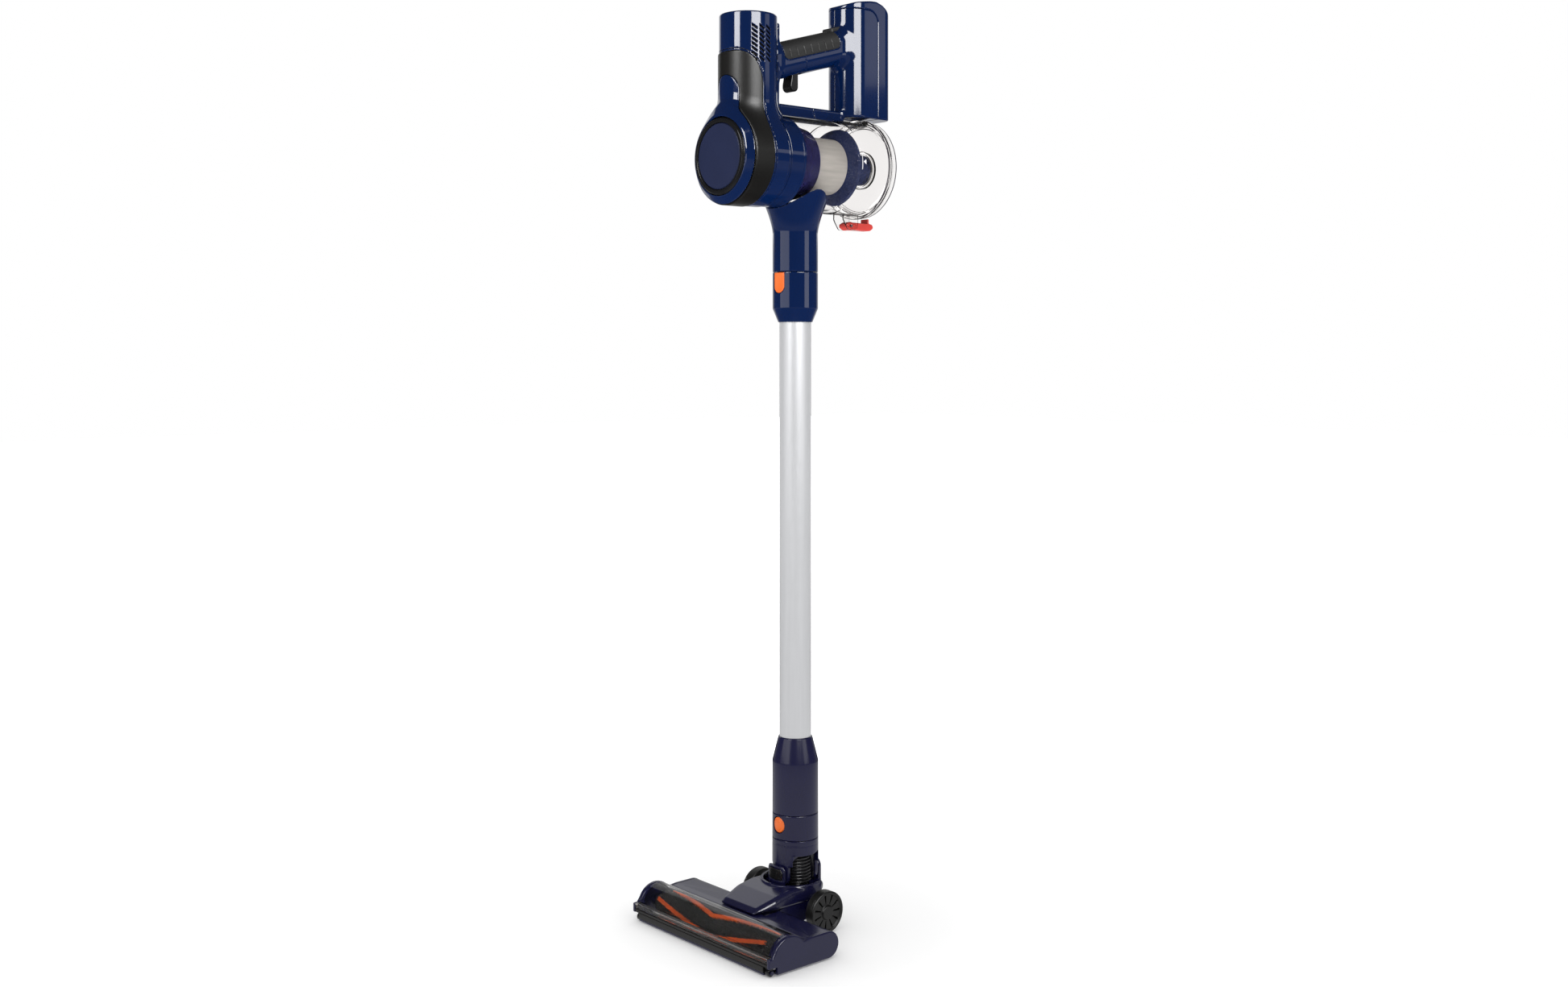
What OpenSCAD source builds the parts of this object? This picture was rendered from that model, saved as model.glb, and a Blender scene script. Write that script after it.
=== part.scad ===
// Cordless stick vacuum: hand unit, wand and powered floor head.
// Millimetres, +Z up, floor at Z 0, wand axis at X 0 Y 0, front of the head towards -Y.

/* [Wand] */
// Outer diameter of the wand tube
tube_d = 38; // [37:0.5:38.5]
// Top of the wand tube, inside its socket
tube_top = 734; // [733:0.5:734]
// Outer radius of the sockets at both ends of the wand
socket_r = 27.5; // [27:0.25:27.5]

/* [Hand unit] */
// Height of the barrel's axis above the floor
barrel_z = 901; // [900:0.5:901]
// Outer radius of the clear dust bin
bin_r = 54; // [53.5:0.25:54]
// Outer radius of the motor column
column_r = 33.8; // [33.5:0.1:33.9]
// Distance of the motor column in front of the wand
column_y = -73.2; // [-73.4:0.1:-73]
// Top of the motor column
column_top = 1067.6; // [1064:0.4:1070]
// Top of the battery
battery_top = 1106; // [1104:0.5:1108]
// Slope of the grip
grip_slope = 16.3; // [16:0.1:16.6]
// Width of the grip
grip_w = 34; // [33:0.5:35]

/* [Floor head] */
// Width of the floor head
head_w = 250; // [244:1:252]
// Front edge of the floor head
head_front = -148; // [-148:0.1:-147.5]
// Radius of the clear dome over the brush
dome_r = 24; // [23.8:0.1:24]
// Radius of a rear wheel
wheel_r = 24.4; // [24:0.1:24.4]
// Thickness of a rear wheel
wheel_w = 13; // [12:0.5:13]

/* [Fits] */
// Thickness of the moulded shells
wall = 2.5; // [2.2:0.1:2.6]
// Gap at the seams between shells
seam = 0.4; // [0.3:0.05:0.5]
// Radial clearance of a shaft in its bore
running = 0.05; // [0.03:0.01:0.08]

/* [Hidden] */
$fn = 64;

navy = "#142350";
head_navy = "#2c2c4a";
black = "#1a1a1a";
clear_grey = [0.8, 0.8, 0.8, 0.4];
orange = "#f06a14";

band_r = column_r + 1.4;
tube_r = tube_d / 2;
tube_bore_r = tube_r - 1.4;
tube_seat_r = tube_r + running;
tube_bottom = 170;
spigot_r = 20.8;
spigot_bore_r = spigot_r + 0.2;
duct_r = 17.6;
cone_h = 16;
cone_lip_r = 20.5;

// heights of the seams down the wand
neck_bottom = 771;
neck_flare = 818;
socket_cone = 728;
foot_cone_top = 219;
foot_cone = 190;
collar_top = 129;
collar_bottom = 99.5;
elbow_top_floor = 90;

// stations along the barrel, from the front to the door
cap_front = -118;
bezel_front = -116;
band_front = -108;
band_back = -79;
collar_1_back = -56;
bin_front = -30;
bin_shoulder = 50;
flange_front = 96;
bin_back = 104;
door_back = 112.2;
door_r = 59.2;
door_hinge = [108.5, 957];
latch_pivot = [84, 831];

// the battery's column
battery_back = 136.5;
battery_front_y = 92;
battery_half = 28;
battery_corner = 14;
battery_seam_y = 111;
battery_bottom = 962;
battery_cap_z = 1094;
// stations along its domed top, each with its depth below the highest point
battery_dome = [[62, 9.5], [67, 7.2], [71, 5.7], [78, 3.6], [86, 2.2], [99, 0.5], [106, 0], [110, 0],
    [118.7, 2.8], [125, 6.8], [131, 10.9], [134.6, 14], [136.4, 18], [150, 60]];
socket_z = 985;

// the grip
grip_y0 = -30;
grip_z0 = 1019.6;
grip_h = 42;
grip_len = 102;
grip_start = -14;
trigger_pivot = [-9, 1028];
rail_screws = [[-20, 963.5], [58, 963.5]];

// the head's joints
pitch_axis = [0, 36];
roll_z = 58;
wheel_axle = [-5.6, wheel_r];
wheel_x = 51;
axle_r = 3;
roller_r = 4.5;
roller_axle = [-141, roller_r];
roller_x = 114.5;
roller_w = 6;
roller_pin_in = 4;
dome_c = [-117, 16];
brush_axis = [-117, 18.5];
brush_r = 17.5;
motor_axis = [-78, 17];
rear_c = [-60, 16.5];
rear_r = 15;
sole_z = 1.5;
lip_z = 21;
cap_w = 4;
cheek_x = 31.6;

// ---------- helpers ----------

function arc(c, r, a0, a1, n) =
    [for (i = [0:n]) let (a = a0 + (a1 - a0) * i / n) [c[0] + r * cos(a), c[1] + r * sin(a)]];

module box(x, y, z) translate([x[0], y[0], z[0]]) cube([x[1] - x[0], y[1] - y[0], z[1] - z[0]]);
module post(r, z0, z1, x = 0, y = 0) translate([x, y, z0]) cylinder(r = r, h = z1 - z0);
module bar_x(r, x0, x1, c) translate([x0, c[0], c[1]]) rotate([0, 90, 0]) cylinder(r = r, h = x1 - x0);
module bar_y(r, y0, y1, x, z) translate([x, y0, z]) rotate([-90, 0, 0]) cylinder(r = r, h = y1 - y0);
module barrel(r, y0, y1) bar_y(r, y0, y1, 0, barrel_z);
module about_barrel(points)
    translate([0, 0, barrel_z]) rotate([-90, 0, 0]) rotate_extrude() polygon(points);
module ring_x(r, bore, x0, x1, c) difference() {
    bar_x(r, x0, x1, c);
    bar_x(bore, x0 - 1, x1 + 1, c);
}
// extrudes an outline drawn in Y and Z along X
module along_x(x0, x1) translate([x0, 0, 0]) rotate([90, 0, 90]) linear_extrude(x1 - x0) children();
module both_sides() {
    children();
    mirror([1, 0, 0]) children();
}
module rounded_rect(w, h, r) {
    square([w - 2 * r, h], center = true);
    square([w, h - 2 * r], center = true);
    for (x = [-1, 1], y = [-1, 1]) translate([x * (w / 2 - r), y * (h / 2 - r)]) circle(r);
}

// ---------- motor column and barrel front ----------

module column(r, z0, z1) post(r, z0, z1, 0, column_y);

// the region that the black band covers, swept up the front of the column as a quarter ellipse
module band_region(gap) {
    top = [for (a = [0:7.5:90]) [-106 + (27 - gap) * cos(a), 980 + (42 - gap) * sin(a)]];
    along_x(-70, 70) polygon(concat(
        [[-140, 830], [band_back - gap, 830]], top, [[-140, 1022 - gap]]));
}

// the tongue that runs from the bezel up the column
module tongue_region(gap) {
    bar_y(18.6 - gap, -120, -95, 0, 976.4);
    box([-18.6 + gap, 18.6 - gap], [-120, -95], [barrel_z + 47, 976.4]);
}

module vent_slots() {
    for (side = [-1, 1], az = [63:15.5:94], row = [0:7])
        translate([0, column_y, 1012.8 + 5.2 * row])
            rotate([0, 0, side * az - 90]) translate([column_r - 1, 0, 0])
                rotate([side * -33, 0, 0]) cube([8, 7, 2.9], center = true);
}

module motor_housing() color(navy) difference() {
    union() {
        column(column_r, barrel_z, column_top);
        barrel(55, band_back, collar_1_back - seam);
    }
    column(column_r - wall, barrel_z - 1, column_top - wall);
    barrel(55 - wall, band_back - 1, collar_1_back);
    barrel(bin_r + 1.4, collar_1_back - seam, 0);
    band_region(0);
    vent_slots();
}

module accent_band() color(black) difference() {
    intersection() {
        difference() {
            union() {
                column(band_r, barrel_z, 1030);
                barrel(56, band_front + seam, band_back - seam);
            }
            column(column_r - wall, barrel_z - 1, 1031);
            barrel(56 - wall, band_front - 1, band_back);
        }
        band_region(seam);
    }
    tongue_region(-0.3);
}

module front_bezel() color(navy) {
    about_barrel([[45.4, bezel_front], [46.5, bezel_front], [55.6, band_front], [53, band_front],
        [53, -100], [50.4, -100], [50.4, -106], [45.4, -110]]);
    difference() {
        intersection() {
            column(band_r, barrel_z + 50, 1030);
            tongue_region(0.1);
        }
        column(column_r - wall, barrel_z, 1031);
        barrel(52.8, -107, -90);
    }
}

module cap_ring() color(black) about_barrel([[38.3, -116.5], [39.5, cap_front], [43, cap_front],
    [45, -115.5], [45, -110.5], [38.3, -110.5]]);

module cap_disc() color(head_navy) {
    barrel(38.2, -117.5, -113);
    about_barrel([[33, -113], [36, -113], [36, -104], [33, -104]]);
}

module pleated_filter() {
    pleats = 36;
    color("white") translate([0, -102, barrel_z]) rotate([-90, 0, 0]) linear_extrude(38)
        difference() {
            polygon([for (i = [0:2 * pleats - 1]) let (r = i % 2 == 0 ? 46 : 40, a = i * 180 / pleats)
                [r * cos(a), r * sin(a)]]);
            circle(30);
        }
}

// ---------- motor ----------

module motor_can() color("silver") difference() {
    column(24, 985, 1050);
    column(14, 988, 1047);
    column(2.2, 980, 1060);
}
module motor_rotor() color("gray") difference() {
    column(13, 994, 1040);
    column(2.05, 990, 1045);
}
module impeller() color("silver") {
    column(2, 962, 1052);
    column(8, 964, 978);
    column(26, 962, 964);
    for (a = [0:40:320]) translate([0, column_y, 964]) rotate([0, 0, a]) translate([7, -0.6, 0])
        cube([18, 1.2, 12]);
}
module motor_mounts() color(black) for (z = [985, 1045]) difference() {
    column(column_r - wall - 0.1, z, z + 5);
    column(24.05, z - 1, z + 6);
}
module exhaust_foam() color("dimgray") difference() {
    column(column_r - wall - 0.2, 992, 1043);
    column(26, 991, 1044);
}
module control_board() color("green") {
    column(28, 1057, 1058.6);
    for (x = [-12, 0, 12]) post(3.5, 1058.6, 1063, x, column_y + 8);
}

// ---------- handle ----------

// plan of the battery's column: round in front, small corners behind
module battery_plan(inset) {
    half = battery_half - inset;
    corner = battery_corner - inset;
    back = battery_back - inset;
    translate([0, battery_front_y]) circle(half);
    translate([-half, battery_front_y]) square([2 * half, back - corner - battery_front_y]);
    translate([-half + corner, battery_front_y]) square([2 * (half - corner), back - battery_front_y]);
    for (s = [-1, 1]) translate([s * (half - corner), back - corner]) circle(corner);
}
module battery_block(inset, z0, z1) translate([0, 0, z0]) linear_extrude(z1 - z0) battery_plan(inset);

module grip_bar(w, h, y0, y1) translate([0, grip_y0, grip_z0]) rotate([grip_slope, 0, 0])
    translate([0, y0, 0]) rotate([-90, 0, 0]) linear_extrude(y1 - y0) rounded_rect(w, h, 15);

module handle_solid() {
    box([-16, 16], [-48, -37], [957.4, 1062]);
    grip_bar(grip_w, grip_h, grip_start, grip_len);
    box([-11, 11], [-45, 66], [958, 969]);
    battery_block(0, battery_bottom, battery_cap_z);
}
module handle_hollow() {
    column(column_r + 0.3, 900, 1110);
    barrel(bin_r + 1.4, -100, 60);
    grip_bar(grip_w - 2 * wall, grip_h - 2 * wall, 0, grip_len + 10);
    battery_block(2.8, battery_bottom + wall, battery_top + 1);
    box([-60, 60], [battery_seam_y, 160], [900, 1200]);
    box([-8.6, 8.6], [-18, 4], [980, trigger_pivot[1]]);
    bar_x(1.5, -14.2, 14.2, trigger_pivot);
    for (c = rail_screws) {
        bar_x(1.55, -9.6, 9.6, c);
        bar_x(2.8, 9.5, 23, c);
    }
}
module handle_shell() {
    difference() {
        handle_solid();
        handle_hollow();
    }
    both_sides() ring_x(4, 1.5, 8.6, 15.5, trigger_pivot);
}
module handle_left() color(navy) intersection() {
    handle_shell();
    box([-60, 0], [-60, 160], [900, 1200]);
}
module handle_right() color(navy) intersection() {
    handle_shell();
    box([0, 60], [-60, 160], [900, 1200]);
}
module handle_screws() color("silver") for (c = rail_screws) {
    bar_x(1.5, -9, 9.5, c);
    bar_x(2.7, 9.5, 10.8, c);
}

module grip_pad() color(black) difference() {
    intersection() {
        grip_bar(grip_w + 2.4, grip_h + 2.4, 0, 93);
        translate([0, grip_y0, grip_z0]) rotate([grip_slope, 0, 0]) box([-30, 30], [-10, 100], [-1, 40]);
    }
    grip_bar(grip_w, grip_h, -10, grip_len);
    battery_block(-0.1, 900, 1100);
    for (i = [0:6]) translate([0, grip_y0, grip_z0]) rotate([grip_slope, 0, 0])
        both_sides() box([grip_w / 2 + 0.6, 30], [8.6 + 11.6 * i, 10.4 + 11.6 * i], [2, 11]);
}

module trigger() color(black) difference() {
    along_x(-7.8, 7.8) {
        translate(trigger_pivot) circle(6);
        translate([-14, 991.5]) square([12, trigger_pivot[1] - 991.5]);
        translate([-8, 991.5]) circle(6);
    }
    bar_x(1.5 + running, -10, 10, trigger_pivot);
}
module trigger_pin() color("silver") bar_x(1.5, -14, 14, trigger_pivot);
module trigger_spring() color("silver") for (i = [0:4]) translate([0, -1.4 + 1.8 * i, 1018])
    rotate([-90, 0, 0]) rotate_extrude() translate([2.4, 0]) circle(0.5);
module trigger_switch() color("dimgray") {
    box([-5, 5], [8, 19], [1018.5, 1026]);
    box([-2, 2], [6.9, 8], [1018.5, 1021]);
}

// ---------- battery ----------

// everything below the domed top, lowered by a depth
module under_dome(depth) along_x(-60, 60) polygon(concat([[150, 900], [62, 900]],
    [for (p = battery_dome) [p[0], battery_top - p[1] - depth]]));
module battery_case() color(navy) difference() {
    intersection() {
        union() {
            difference() {
                battery_block(0, battery_bottom, battery_top);
                box([-60, 60], [0, battery_seam_y + seam], [900, battery_cap_z + seam]);
            }
            battery_block(2.8 + seam, battery_bottom + wall + seam, battery_top - 1);
        }
        under_dome(0);
    }
    intersection() {
        union() {
            battery_block(5.2, battery_bottom + 5.4, battery_top - wall);
            intersection() {
                battery_block(wall, battery_bottom + wall, battery_top - wall);
                box([-60, 60], [battery_seam_y + 3, 160], [900, 1200]);
            }
        }
        under_dome(1.4 * wall);
    }
    battery_button_hole();
    bar_y(5.05, battery_back - 10, battery_back + 2, 0, socket_z);
}
module battery_button_hole()
    box([-9.3, 9.3], [battery_back - 13, battery_back + 2], [1069.7, 1082.3]);
module battery_cells() color("orchid") for (x = [-10, 10], y = [84, 103, 122]) post(9.1, 1000, 1065, x, y);
module battery_button() color(black) 
    box([-9, 9], [battery_back - 4.6, battery_back - 0.2], [1070, 1082]);
module charge_socket() color(black) difference() {
    bar_y(5, battery_back - 12, battery_back - 0.2, 0, socket_z);
    bar_y(2.75, battery_back - 9.2, battery_back + 2, 0, socket_z);
}

// ---------- dust bin ----------

module bin_collar() color(navy) about_barrel([[bin_r, collar_1_back], [bin_r, bin_front],
    [bin_r - 2.4, bin_front], [bin_r - 2.4, -53.6], [34, -53.6], [34, collar_1_back]]);

module latch_bracket() both_sides() difference() {
    box([7, 9.5], [75, 93], [826, 850]);
    bar_x(1.55, 0, 20, latch_pivot);
}
module dust_bin() color(clear_grey) {
    difference() {
        union() {
            about_barrel([[bin_r - 2.7, -42], [bin_r - 2.7, bin_front + seam], [bin_r, bin_front + seam],
                [bin_r, bin_shoulder], [bin_r + 3, bin_shoulder + 5], [bin_r + 3, flange_front],
                [61, flange_front], [61, bin_back], [bin_r + 0.5, bin_back],
                [bin_r + 0.5, bin_shoulder + 7], [bin_r - wall, bin_shoulder + 2],
                [bin_r - wall, bin_front + 4], [bin_r - 5.2, bin_front + 2], [bin_r - 5.2, -42]]);
            latch_bracket_solid();
            difference() {
                box([-12, 12], [50, 80], [951, 957.6]);
                barrel(bin_r - 1, 0, 100);
            }
            both_sides() bar_x(3.2, 8, 14, door_hinge);
            both_sides() box([8, 14], [98, door_hinge[0]], [953.8, 960.2]);
        }
        post(18, 840, 870);
        both_sides() bar_x(1.55, 7, 15, door_hinge);
        box([-7.8, 7.8], [100, 120], [952.6, 962]);
    }
}
module latch_bracket_solid() difference() {
    latch_bracket();
    barrel(bin_r - 1, 0, bin_back);
}

module bin_door() color(clear_grey) difference() {
    union() {
        about_barrel([[0, 111.4], [0, door_back + 1], [23, door_back + 1], [23, 107], [door_r - 4, 107],
            [door_r - 4, door_back], [door_r, door_back], [door_r, bin_back + seam],
            [door_r - 2.5, bin_back + seam], [door_r - 2.5, 105.6], [door_r - 6, 105.6],
            [door_r - 6, bin_back + seam], [20.5, bin_back + seam], [20.5, 111.4]]);
        difference() {
            union() {
                bar_x(3.2, -7.6, 7.6, door_hinge);
                box([-7.6, 7.6], [105.4, door_back], [948, door_hinge[1]]);
            }
            bar_x(1.5 + running, -9, 9, door_hinge);
        }
    }
    both_sides() box([7.6, 16], [100, 120], [952, 965]);
    bar_x(1.5 + running, -9, 9, door_hinge);
}
module bin_seals() color("dimgray")
    about_barrel([[bin_r - 5, -46], [bin_r - 2.8, -46], [bin_r - 2.8, -42.3], [bin_r - 5, -42.3]]);
module bin_pins() color("silver") {
    bar_x(1.5, -14, 14, door_hinge);
    bar_x(1.5, -9.5, 9.5, latch_pivot);
}
module door_latch() color("tomato") difference() {
    along_x(-6.6, 6.6) {
        translate(latch_pivot) circle(4.6);
        polygon([[77, 829], [84, 826.4], [118, 826.4], [124, 830], [121.5, 834.6], [116, 835.6],
            [116, 840.8], [113.6, 840.8], [113.6, 835.6], [84, 835.6], [77, 833]]);
    }
    bar_x(1.5 + running, -8, 8, latch_pivot);
}

module mesh_filter() color("silver") about_barrel([[32.9, 3.4], [33.7, 3.4], [33.7, 53.6], [32.9, 53.6]]);
module cyclone_base() color(navy) about_barrel([[30, -34], [bin_r - 5.6, -34], [bin_r - 5.6, -31],
    [45, -31], [45, -14], [42, 3], [30, 3], [30, 1], [40, 0], [42.6, -15], [42.6, -31], [30, -31]]);
module shroud_skirt() color("slategray") about_barrel([[28, 54], [34, 54], [45.4, 61.4], [46.8, 64.4],
    [45.2, 64.4], [43.8, 62.6], [33.2, 56], [28, 56]]);
module inner_cup() color("slateblue") about_barrel([[17, 57], [29.8, 57], [29.8, 59], [19, 60.5],
    [18.6, 110], [0, 110], [0, 108], [17, 108]]);

// the neck's radius at a height above the start of its flare
function neck_r(t) = 27 + 0.0585 * pow(t, 1.45);
module inlet_neck() color(navy) difference() {
    rotate_extrude() polygon(concat([[duct_r, 735], [spigot_r, 735], [spigot_r, neck_bottom + seam],
        [27, neck_bottom + seam], [27, neck_flare]],
        [for (t = [5:5:50]) [neck_r(t), neck_flare + t]],
        [for (t = [50:-5:0]) [neck_r(t) - 3, neck_flare + t]], [[duct_r, 800]]));
    barrel(bin_r + 1.4, -60, bin_front + 0.2);
    barrel(bin_r + 0.3, bin_front, 60);
    for (x = [-5, 5]) post(1.25, 734, 745, x, 18.6);
}

// ---------- wand ----------

module button_window(x_half, z0, z1) box([-x_half, x_half], [-40, -10], [z0, z1]);

module wand_socket() color(navy) difference() {
    rotate_extrude() polygon([[tube_seat_r, 712], [cone_lip_r, 712], [socket_r - 0.5, socket_cone],
        [socket_r - 0.5, neck_bottom], [spigot_bore_r, neck_bottom], [spigot_bore_r, tube_top + 0.5],
        [tube_seat_r, tube_top + 0.5]]);
    button_window(9.2, 755, neck_bottom + 1);
    bar_y(9.2, -40, -10, 0, 755);
}
module wand_button() color(orange) intersection() {
    difference() {
        post(socket_r - 0.2, 740, 780);
        post(24, 739, 781);
    }
    union() {
        button_window(8.8, 755, neck_bottom - 0.2);
        bar_y(8.8, -40, -10, 0, 755);
    }
}
module wand_tube() color("silver") difference() {
    post(tube_r, tube_bottom, tube_top);
    post(tube_bore_r, tube_bottom - 1, tube_top + 1);
}
module wand_lead() color(black) {
    post(1.5, 106, 733, 0, 15.8);
    color("gold") for (x = [-5, 5]) post(1.2, 734.6, 741, x, 18.6);
}
module foot_socket() color(head_navy) rotate_extrude() polygon([[duct_r, 104], [20.5, 104],
    [20.5, collar_top + seam / 2], [socket_r, collar_top + seam / 2], [socket_r, foot_cone],
    [tube_r + 0.4, foot_cone_top], [tube_seat_r, foot_cone_top], [tube_seat_r, tube_bottom - 0.2],
    [duct_r, tube_bottom - 0.2]]);
module foot_collar() color(head_navy) difference() {
    post(socket_r, collar_bottom + seam / 2, collar_top - seam / 2);
    post(20.7, 90, 140);
    bar_y(9.6, -40, -10, 0, 117);
}
module foot_button() color(orange) intersection() {
    difference() {
        post(socket_r + 0.3, 100, 140);
        post(24.4, 99, 141);
    }
    bar_y(9.2, -40, -10, 0, 117);
}

// ---------- elbow and yoke ----------

module leg_outline(half, y0, y1) {
    box([-half, half], [y0, y1], [70, 81]);
    box([-14, 14], [y0, y1], [roll_z, 71]);
    bar_y(14, y0, y1, 0, roll_z);
}
module elbow() color(head_navy) {
    difference() {
        union() {
            post(socket_r, 80, collar_bottom - seam / 2);
            intersection() {
                post(socket_r, 40, 81);
                union() {
                    leg_outline(19, -40, -18);
                    leg_outline(23, 12, 40);
                }
            }
        }
        post(22.5, 30, elbow_top_floor);
        post(duct_r, 80, 100);
        post(20.7, 97, 110);
        bar_y(3 + running, -40, 40, 0, roll_z);
    }
}
module hose() color(black) {
    rotate_extrude() polygon(concat([[13, 30], [15.6, 30], [15.6, 46]],
        [for (i = [0:20]) [i % 2 == 0 ? 15.8 : 19, 47 + 2 * i]], [[15.8, 89.6], [13, 89.6]]));
}
module yoke() color(head_navy) {
    difference() {
        union() {
            intersection() {
                post(33, 38, 43);
                box([-30.8, 30.8], [-40, 40], [30, 50]);
            }
            post(20, 30, 38);
            both_sides() bar_x(9, 17, 31, pitch_axis);
            box([-13, 13], [-33.2, -28.4], [38, 66]);
            box([-9, 9], [-33.2, -28.4], [66, 70]);
            box([-10, 10], [28.4, 33], [38, roll_z]);
            bar_y(10, 28.4, 33, 0, roll_z);
        }
        post(16.2, 20, 60);
        both_sides() bar_x(4 + running, 22, 40, pitch_axis);
        bar_y(3, -40, -28, 0, roll_z);
        bar_y(3, 28, 40, 0, roll_z);
    }
    bar_y(3, -33.2, -23, 0, roll_z);
    bar_y(3, 23, 33, 0, roll_z);
}
module yoke_pad() color(black) along_y_plate();
module along_y_plate() translate([0, -33.2, 0]) rotate([90, 0, 0]) linear_extrude(1.2)
    polygon([[-11, 55], [11, 55], [12, 63], [9, 67], [-9, 67], [-12, 63]]);

// ---------- floor head ----------

module head_outline() polygon(concat([[head_front + 2, sole_z], [head_front, sole_z + 2],
    [head_front, lip_z]], arc(dome_c, dome_r, 168, 35, 14), [[-93.5, 30]],
    arc(rear_c, rear_r, 90, -90, 12)));
module dome_ring(inner, outer) polygon(concat(arc(dome_c, outer, 180, 37, 14),
    arc(dome_c, inner, 37, 180, 14)));

module end_caps() color(head_navy) both_sides() {
    difference() {
        along_x(head_w / 2 - cap_w, head_w / 2) head_outline();
        box([100, 130], [-150, roller_axle[0] + 6], [0, 10.4]);
    }
    along_x(roller_x + roller_w + 0.1, head_w / 2 - cap_w) dome_ring(dome_r - 2, dome_r);
    ring_x(6, axle_r + running, 116, head_w / 2 - cap_w, brush_axis);
}

module cheek() difference() {
    union() {
        along_x(cheek_x, cheek_x + 4) {
            polygon([[-82, 2], [-62, 2], [0, 15], [0, 44], [-14, 44], [-60, 29], [-82, 29]]);
            translate(pitch_axis) circle(10);
            translate(wheel_axle) circle(10);
        }
        bar_x(7, cheek_x + 4, wheel_x - 0.5, wheel_axle);
    }
    bar_x(4, 20, 60, pitch_axis);
    bar_x(axle_r, 20, 60, wheel_axle);
}
module head_base() color(head_navy) {
    difference() {
        union() {
            box([-120.8, 120.8], [-146, -62], [sole_z, 3.5]);
            box([-120.8, 120.8], [-96, -93.6], [3.5, 28]);
        }
        box([-113, 113], [-138, -97.5], [0, 10]);
        both_sides() box([roller_x - 0.7, 122], [-147, -135.6], [0, 12]);
        box([-19, 19], [-97, -92], [6, 26]);
        box([-110, -102], [-97, -92], [8.5, 26.8]);
        roller_pin_seat();
    }
    both_sides() cheek();
    difference() {
        box([-21, 21], [-93.6, -40], [4, 28]);
        box([-19, 19], [-97, -39], [6, 26]);
    }
}
module head_deck() color(head_navy) difference() {
    along_x(-120.6, 120.6) polygon(concat([[-95.4, 28], [-93.5, 30]], arc(rear_c, rear_r, 90, -80, 12),
        arc(rear_c, rear_r - 2, -80, 90, 12), [[-93.5, 28.2]]));
    box([-37, 37], [-82, -30], [0, 60]);
}
module cover_outline(inset) polygon([[-90 + inset, 31.8], [-90 + inset, 34], [-84 + inset, 38 - inset],
    [-60 + inset, 46 - inset], [-40, 50 - inset], [0, 50 - inset], [12 - inset, 46], [12 - inset, 31.8]]);
module neck_cover() color(head_navy) difference() {
    union() {
        along_x(-38, 38) cover_outline(0);
        post(37.6, 40, 52, 0, -5);
    }
    along_x(-35.9, 35.9) translate([0, -0.2]) cover_outline(2);
    post(33.6, 20, 60);
    post(34.4, 20, 60, 0, -5);
    box([-31.2, 31.2], [0, 60], [20, 60]);
    box([-50, 50], [10, 60], [20, 60]);
}
module brush_window() color(clear_grey) {
    along_x(-114.2, 114.2) dome_ring(dome_r - 2, dome_r);
    difference() {
        box([-120.6, 120.6], [head_front + 0.4, -140], [14.9, lip_z]);
        bar_x(dome_r - 1, -130, 130, dome_c);
    }
}
module roller_pin_seat() both_sides()
    bar_x(1.5, roller_x - roller_pin_in, roller_x, roller_axle);
module front_strip() color(black) difference() {
    box([-120.6, 120.6], [head_front + 0.6, -142], [3.7, 14.7]);
    both_sides() box([roller_x - 0.7, 122], [-150, -130], [0, 10.4]);
    roller_pin_seat();
}
module head_pins() color("silver") {
    both_sides() {
        bar_x(4, 22.5, cheek_x + 4, pitch_axis);
        bar_x(axle_r, cheek_x, wheel_x + wheel_w, wheel_axle);
        bar_x(1.5, roller_x - roller_pin_in, roller_x + roller_w + 2, roller_axle);
    }
}

// a rear wheel: rim, web, hub and spokes on its outer face
module wheel(side) mirror([side < 0 ? 1 : 0, 0, 0]) difference() {
    union() {
        ring_x(wheel_r, wheel_r - 3.4, wheel_x, wheel_x + wheel_w, wheel_axle);
        bar_x(wheel_r - 3, wheel_x + 2, wheel_x + wheel_w - 3, wheel_axle);
        bar_x(8, wheel_x, wheel_x + wheel_w, wheel_axle);
        for (a = [0:30:330]) translate([0, wheel_axle[0], wheel_axle[1]]) rotate([a, 0, 0])
            box([wheel_x + 5, wheel_x + wheel_w - 0.4], [-0.8, 0.8], [6, wheel_r - 3]);
    }
    bar_x(axle_r + running, 40, 70, wheel_axle);
}
module wheel_left() color(black) wheel(-1);
module wheel_right() color(black) wheel(1);
module rollers() color("dimgray") both_sides()
    ring_x(roller_r, 1.5 + running, roller_x, roller_x + roller_w, roller_axle);

module brush_core() color("dimgray") {
    bar_x(axle_r, -120.5, 120.5, brush_axis);
    bar_x(15, -99.5, 112, brush_axis);
    bar_x(8, -112, -99.5, brush_axis);
}
module brush_strips() color(orange) for (side = [0, 1], a = [0:90:270]) mirror([side, 0, 0])
    translate([0.2, brush_axis[0], brush_axis[1]]) rotate([a + 33, 0, 0]) rotate([0, 90, 0])
        linear_extrude(98, twist = 70, slices = 14, $fn = 12)
            translate([15.1, -1.6]) square([brush_r - 15.2, 3.2]);
module brush_motor() color("silver") {
    bar_x(11.4, -98, -45, motor_axis);
    bar_x(1.5, -112, -97, motor_axis);
    color(black) bar_x(5, -112, -101, motor_axis);
}

// loop round the brush's pulley and the motor's, grown outward by the belt's thickness
function loop_points(grow) =
    let (d = motor_axis - brush_axis, r0 = 8.3 + grow, r1 = 5.3 + grow,
        a = acos((r0 - r1) / norm(d)), t = atan2(d[1], d[0]))
    concat(arc(brush_axis, r0, t + a, t + 360 - a, 20), arc(motor_axis, r1, t - a, t + a, 14));
module belt() color(black) difference() {
    along_x(-109, -103) polygon(loop_points(1.2));
    along_x(-110, -102) polygon(loop_points(0));
}

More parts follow.
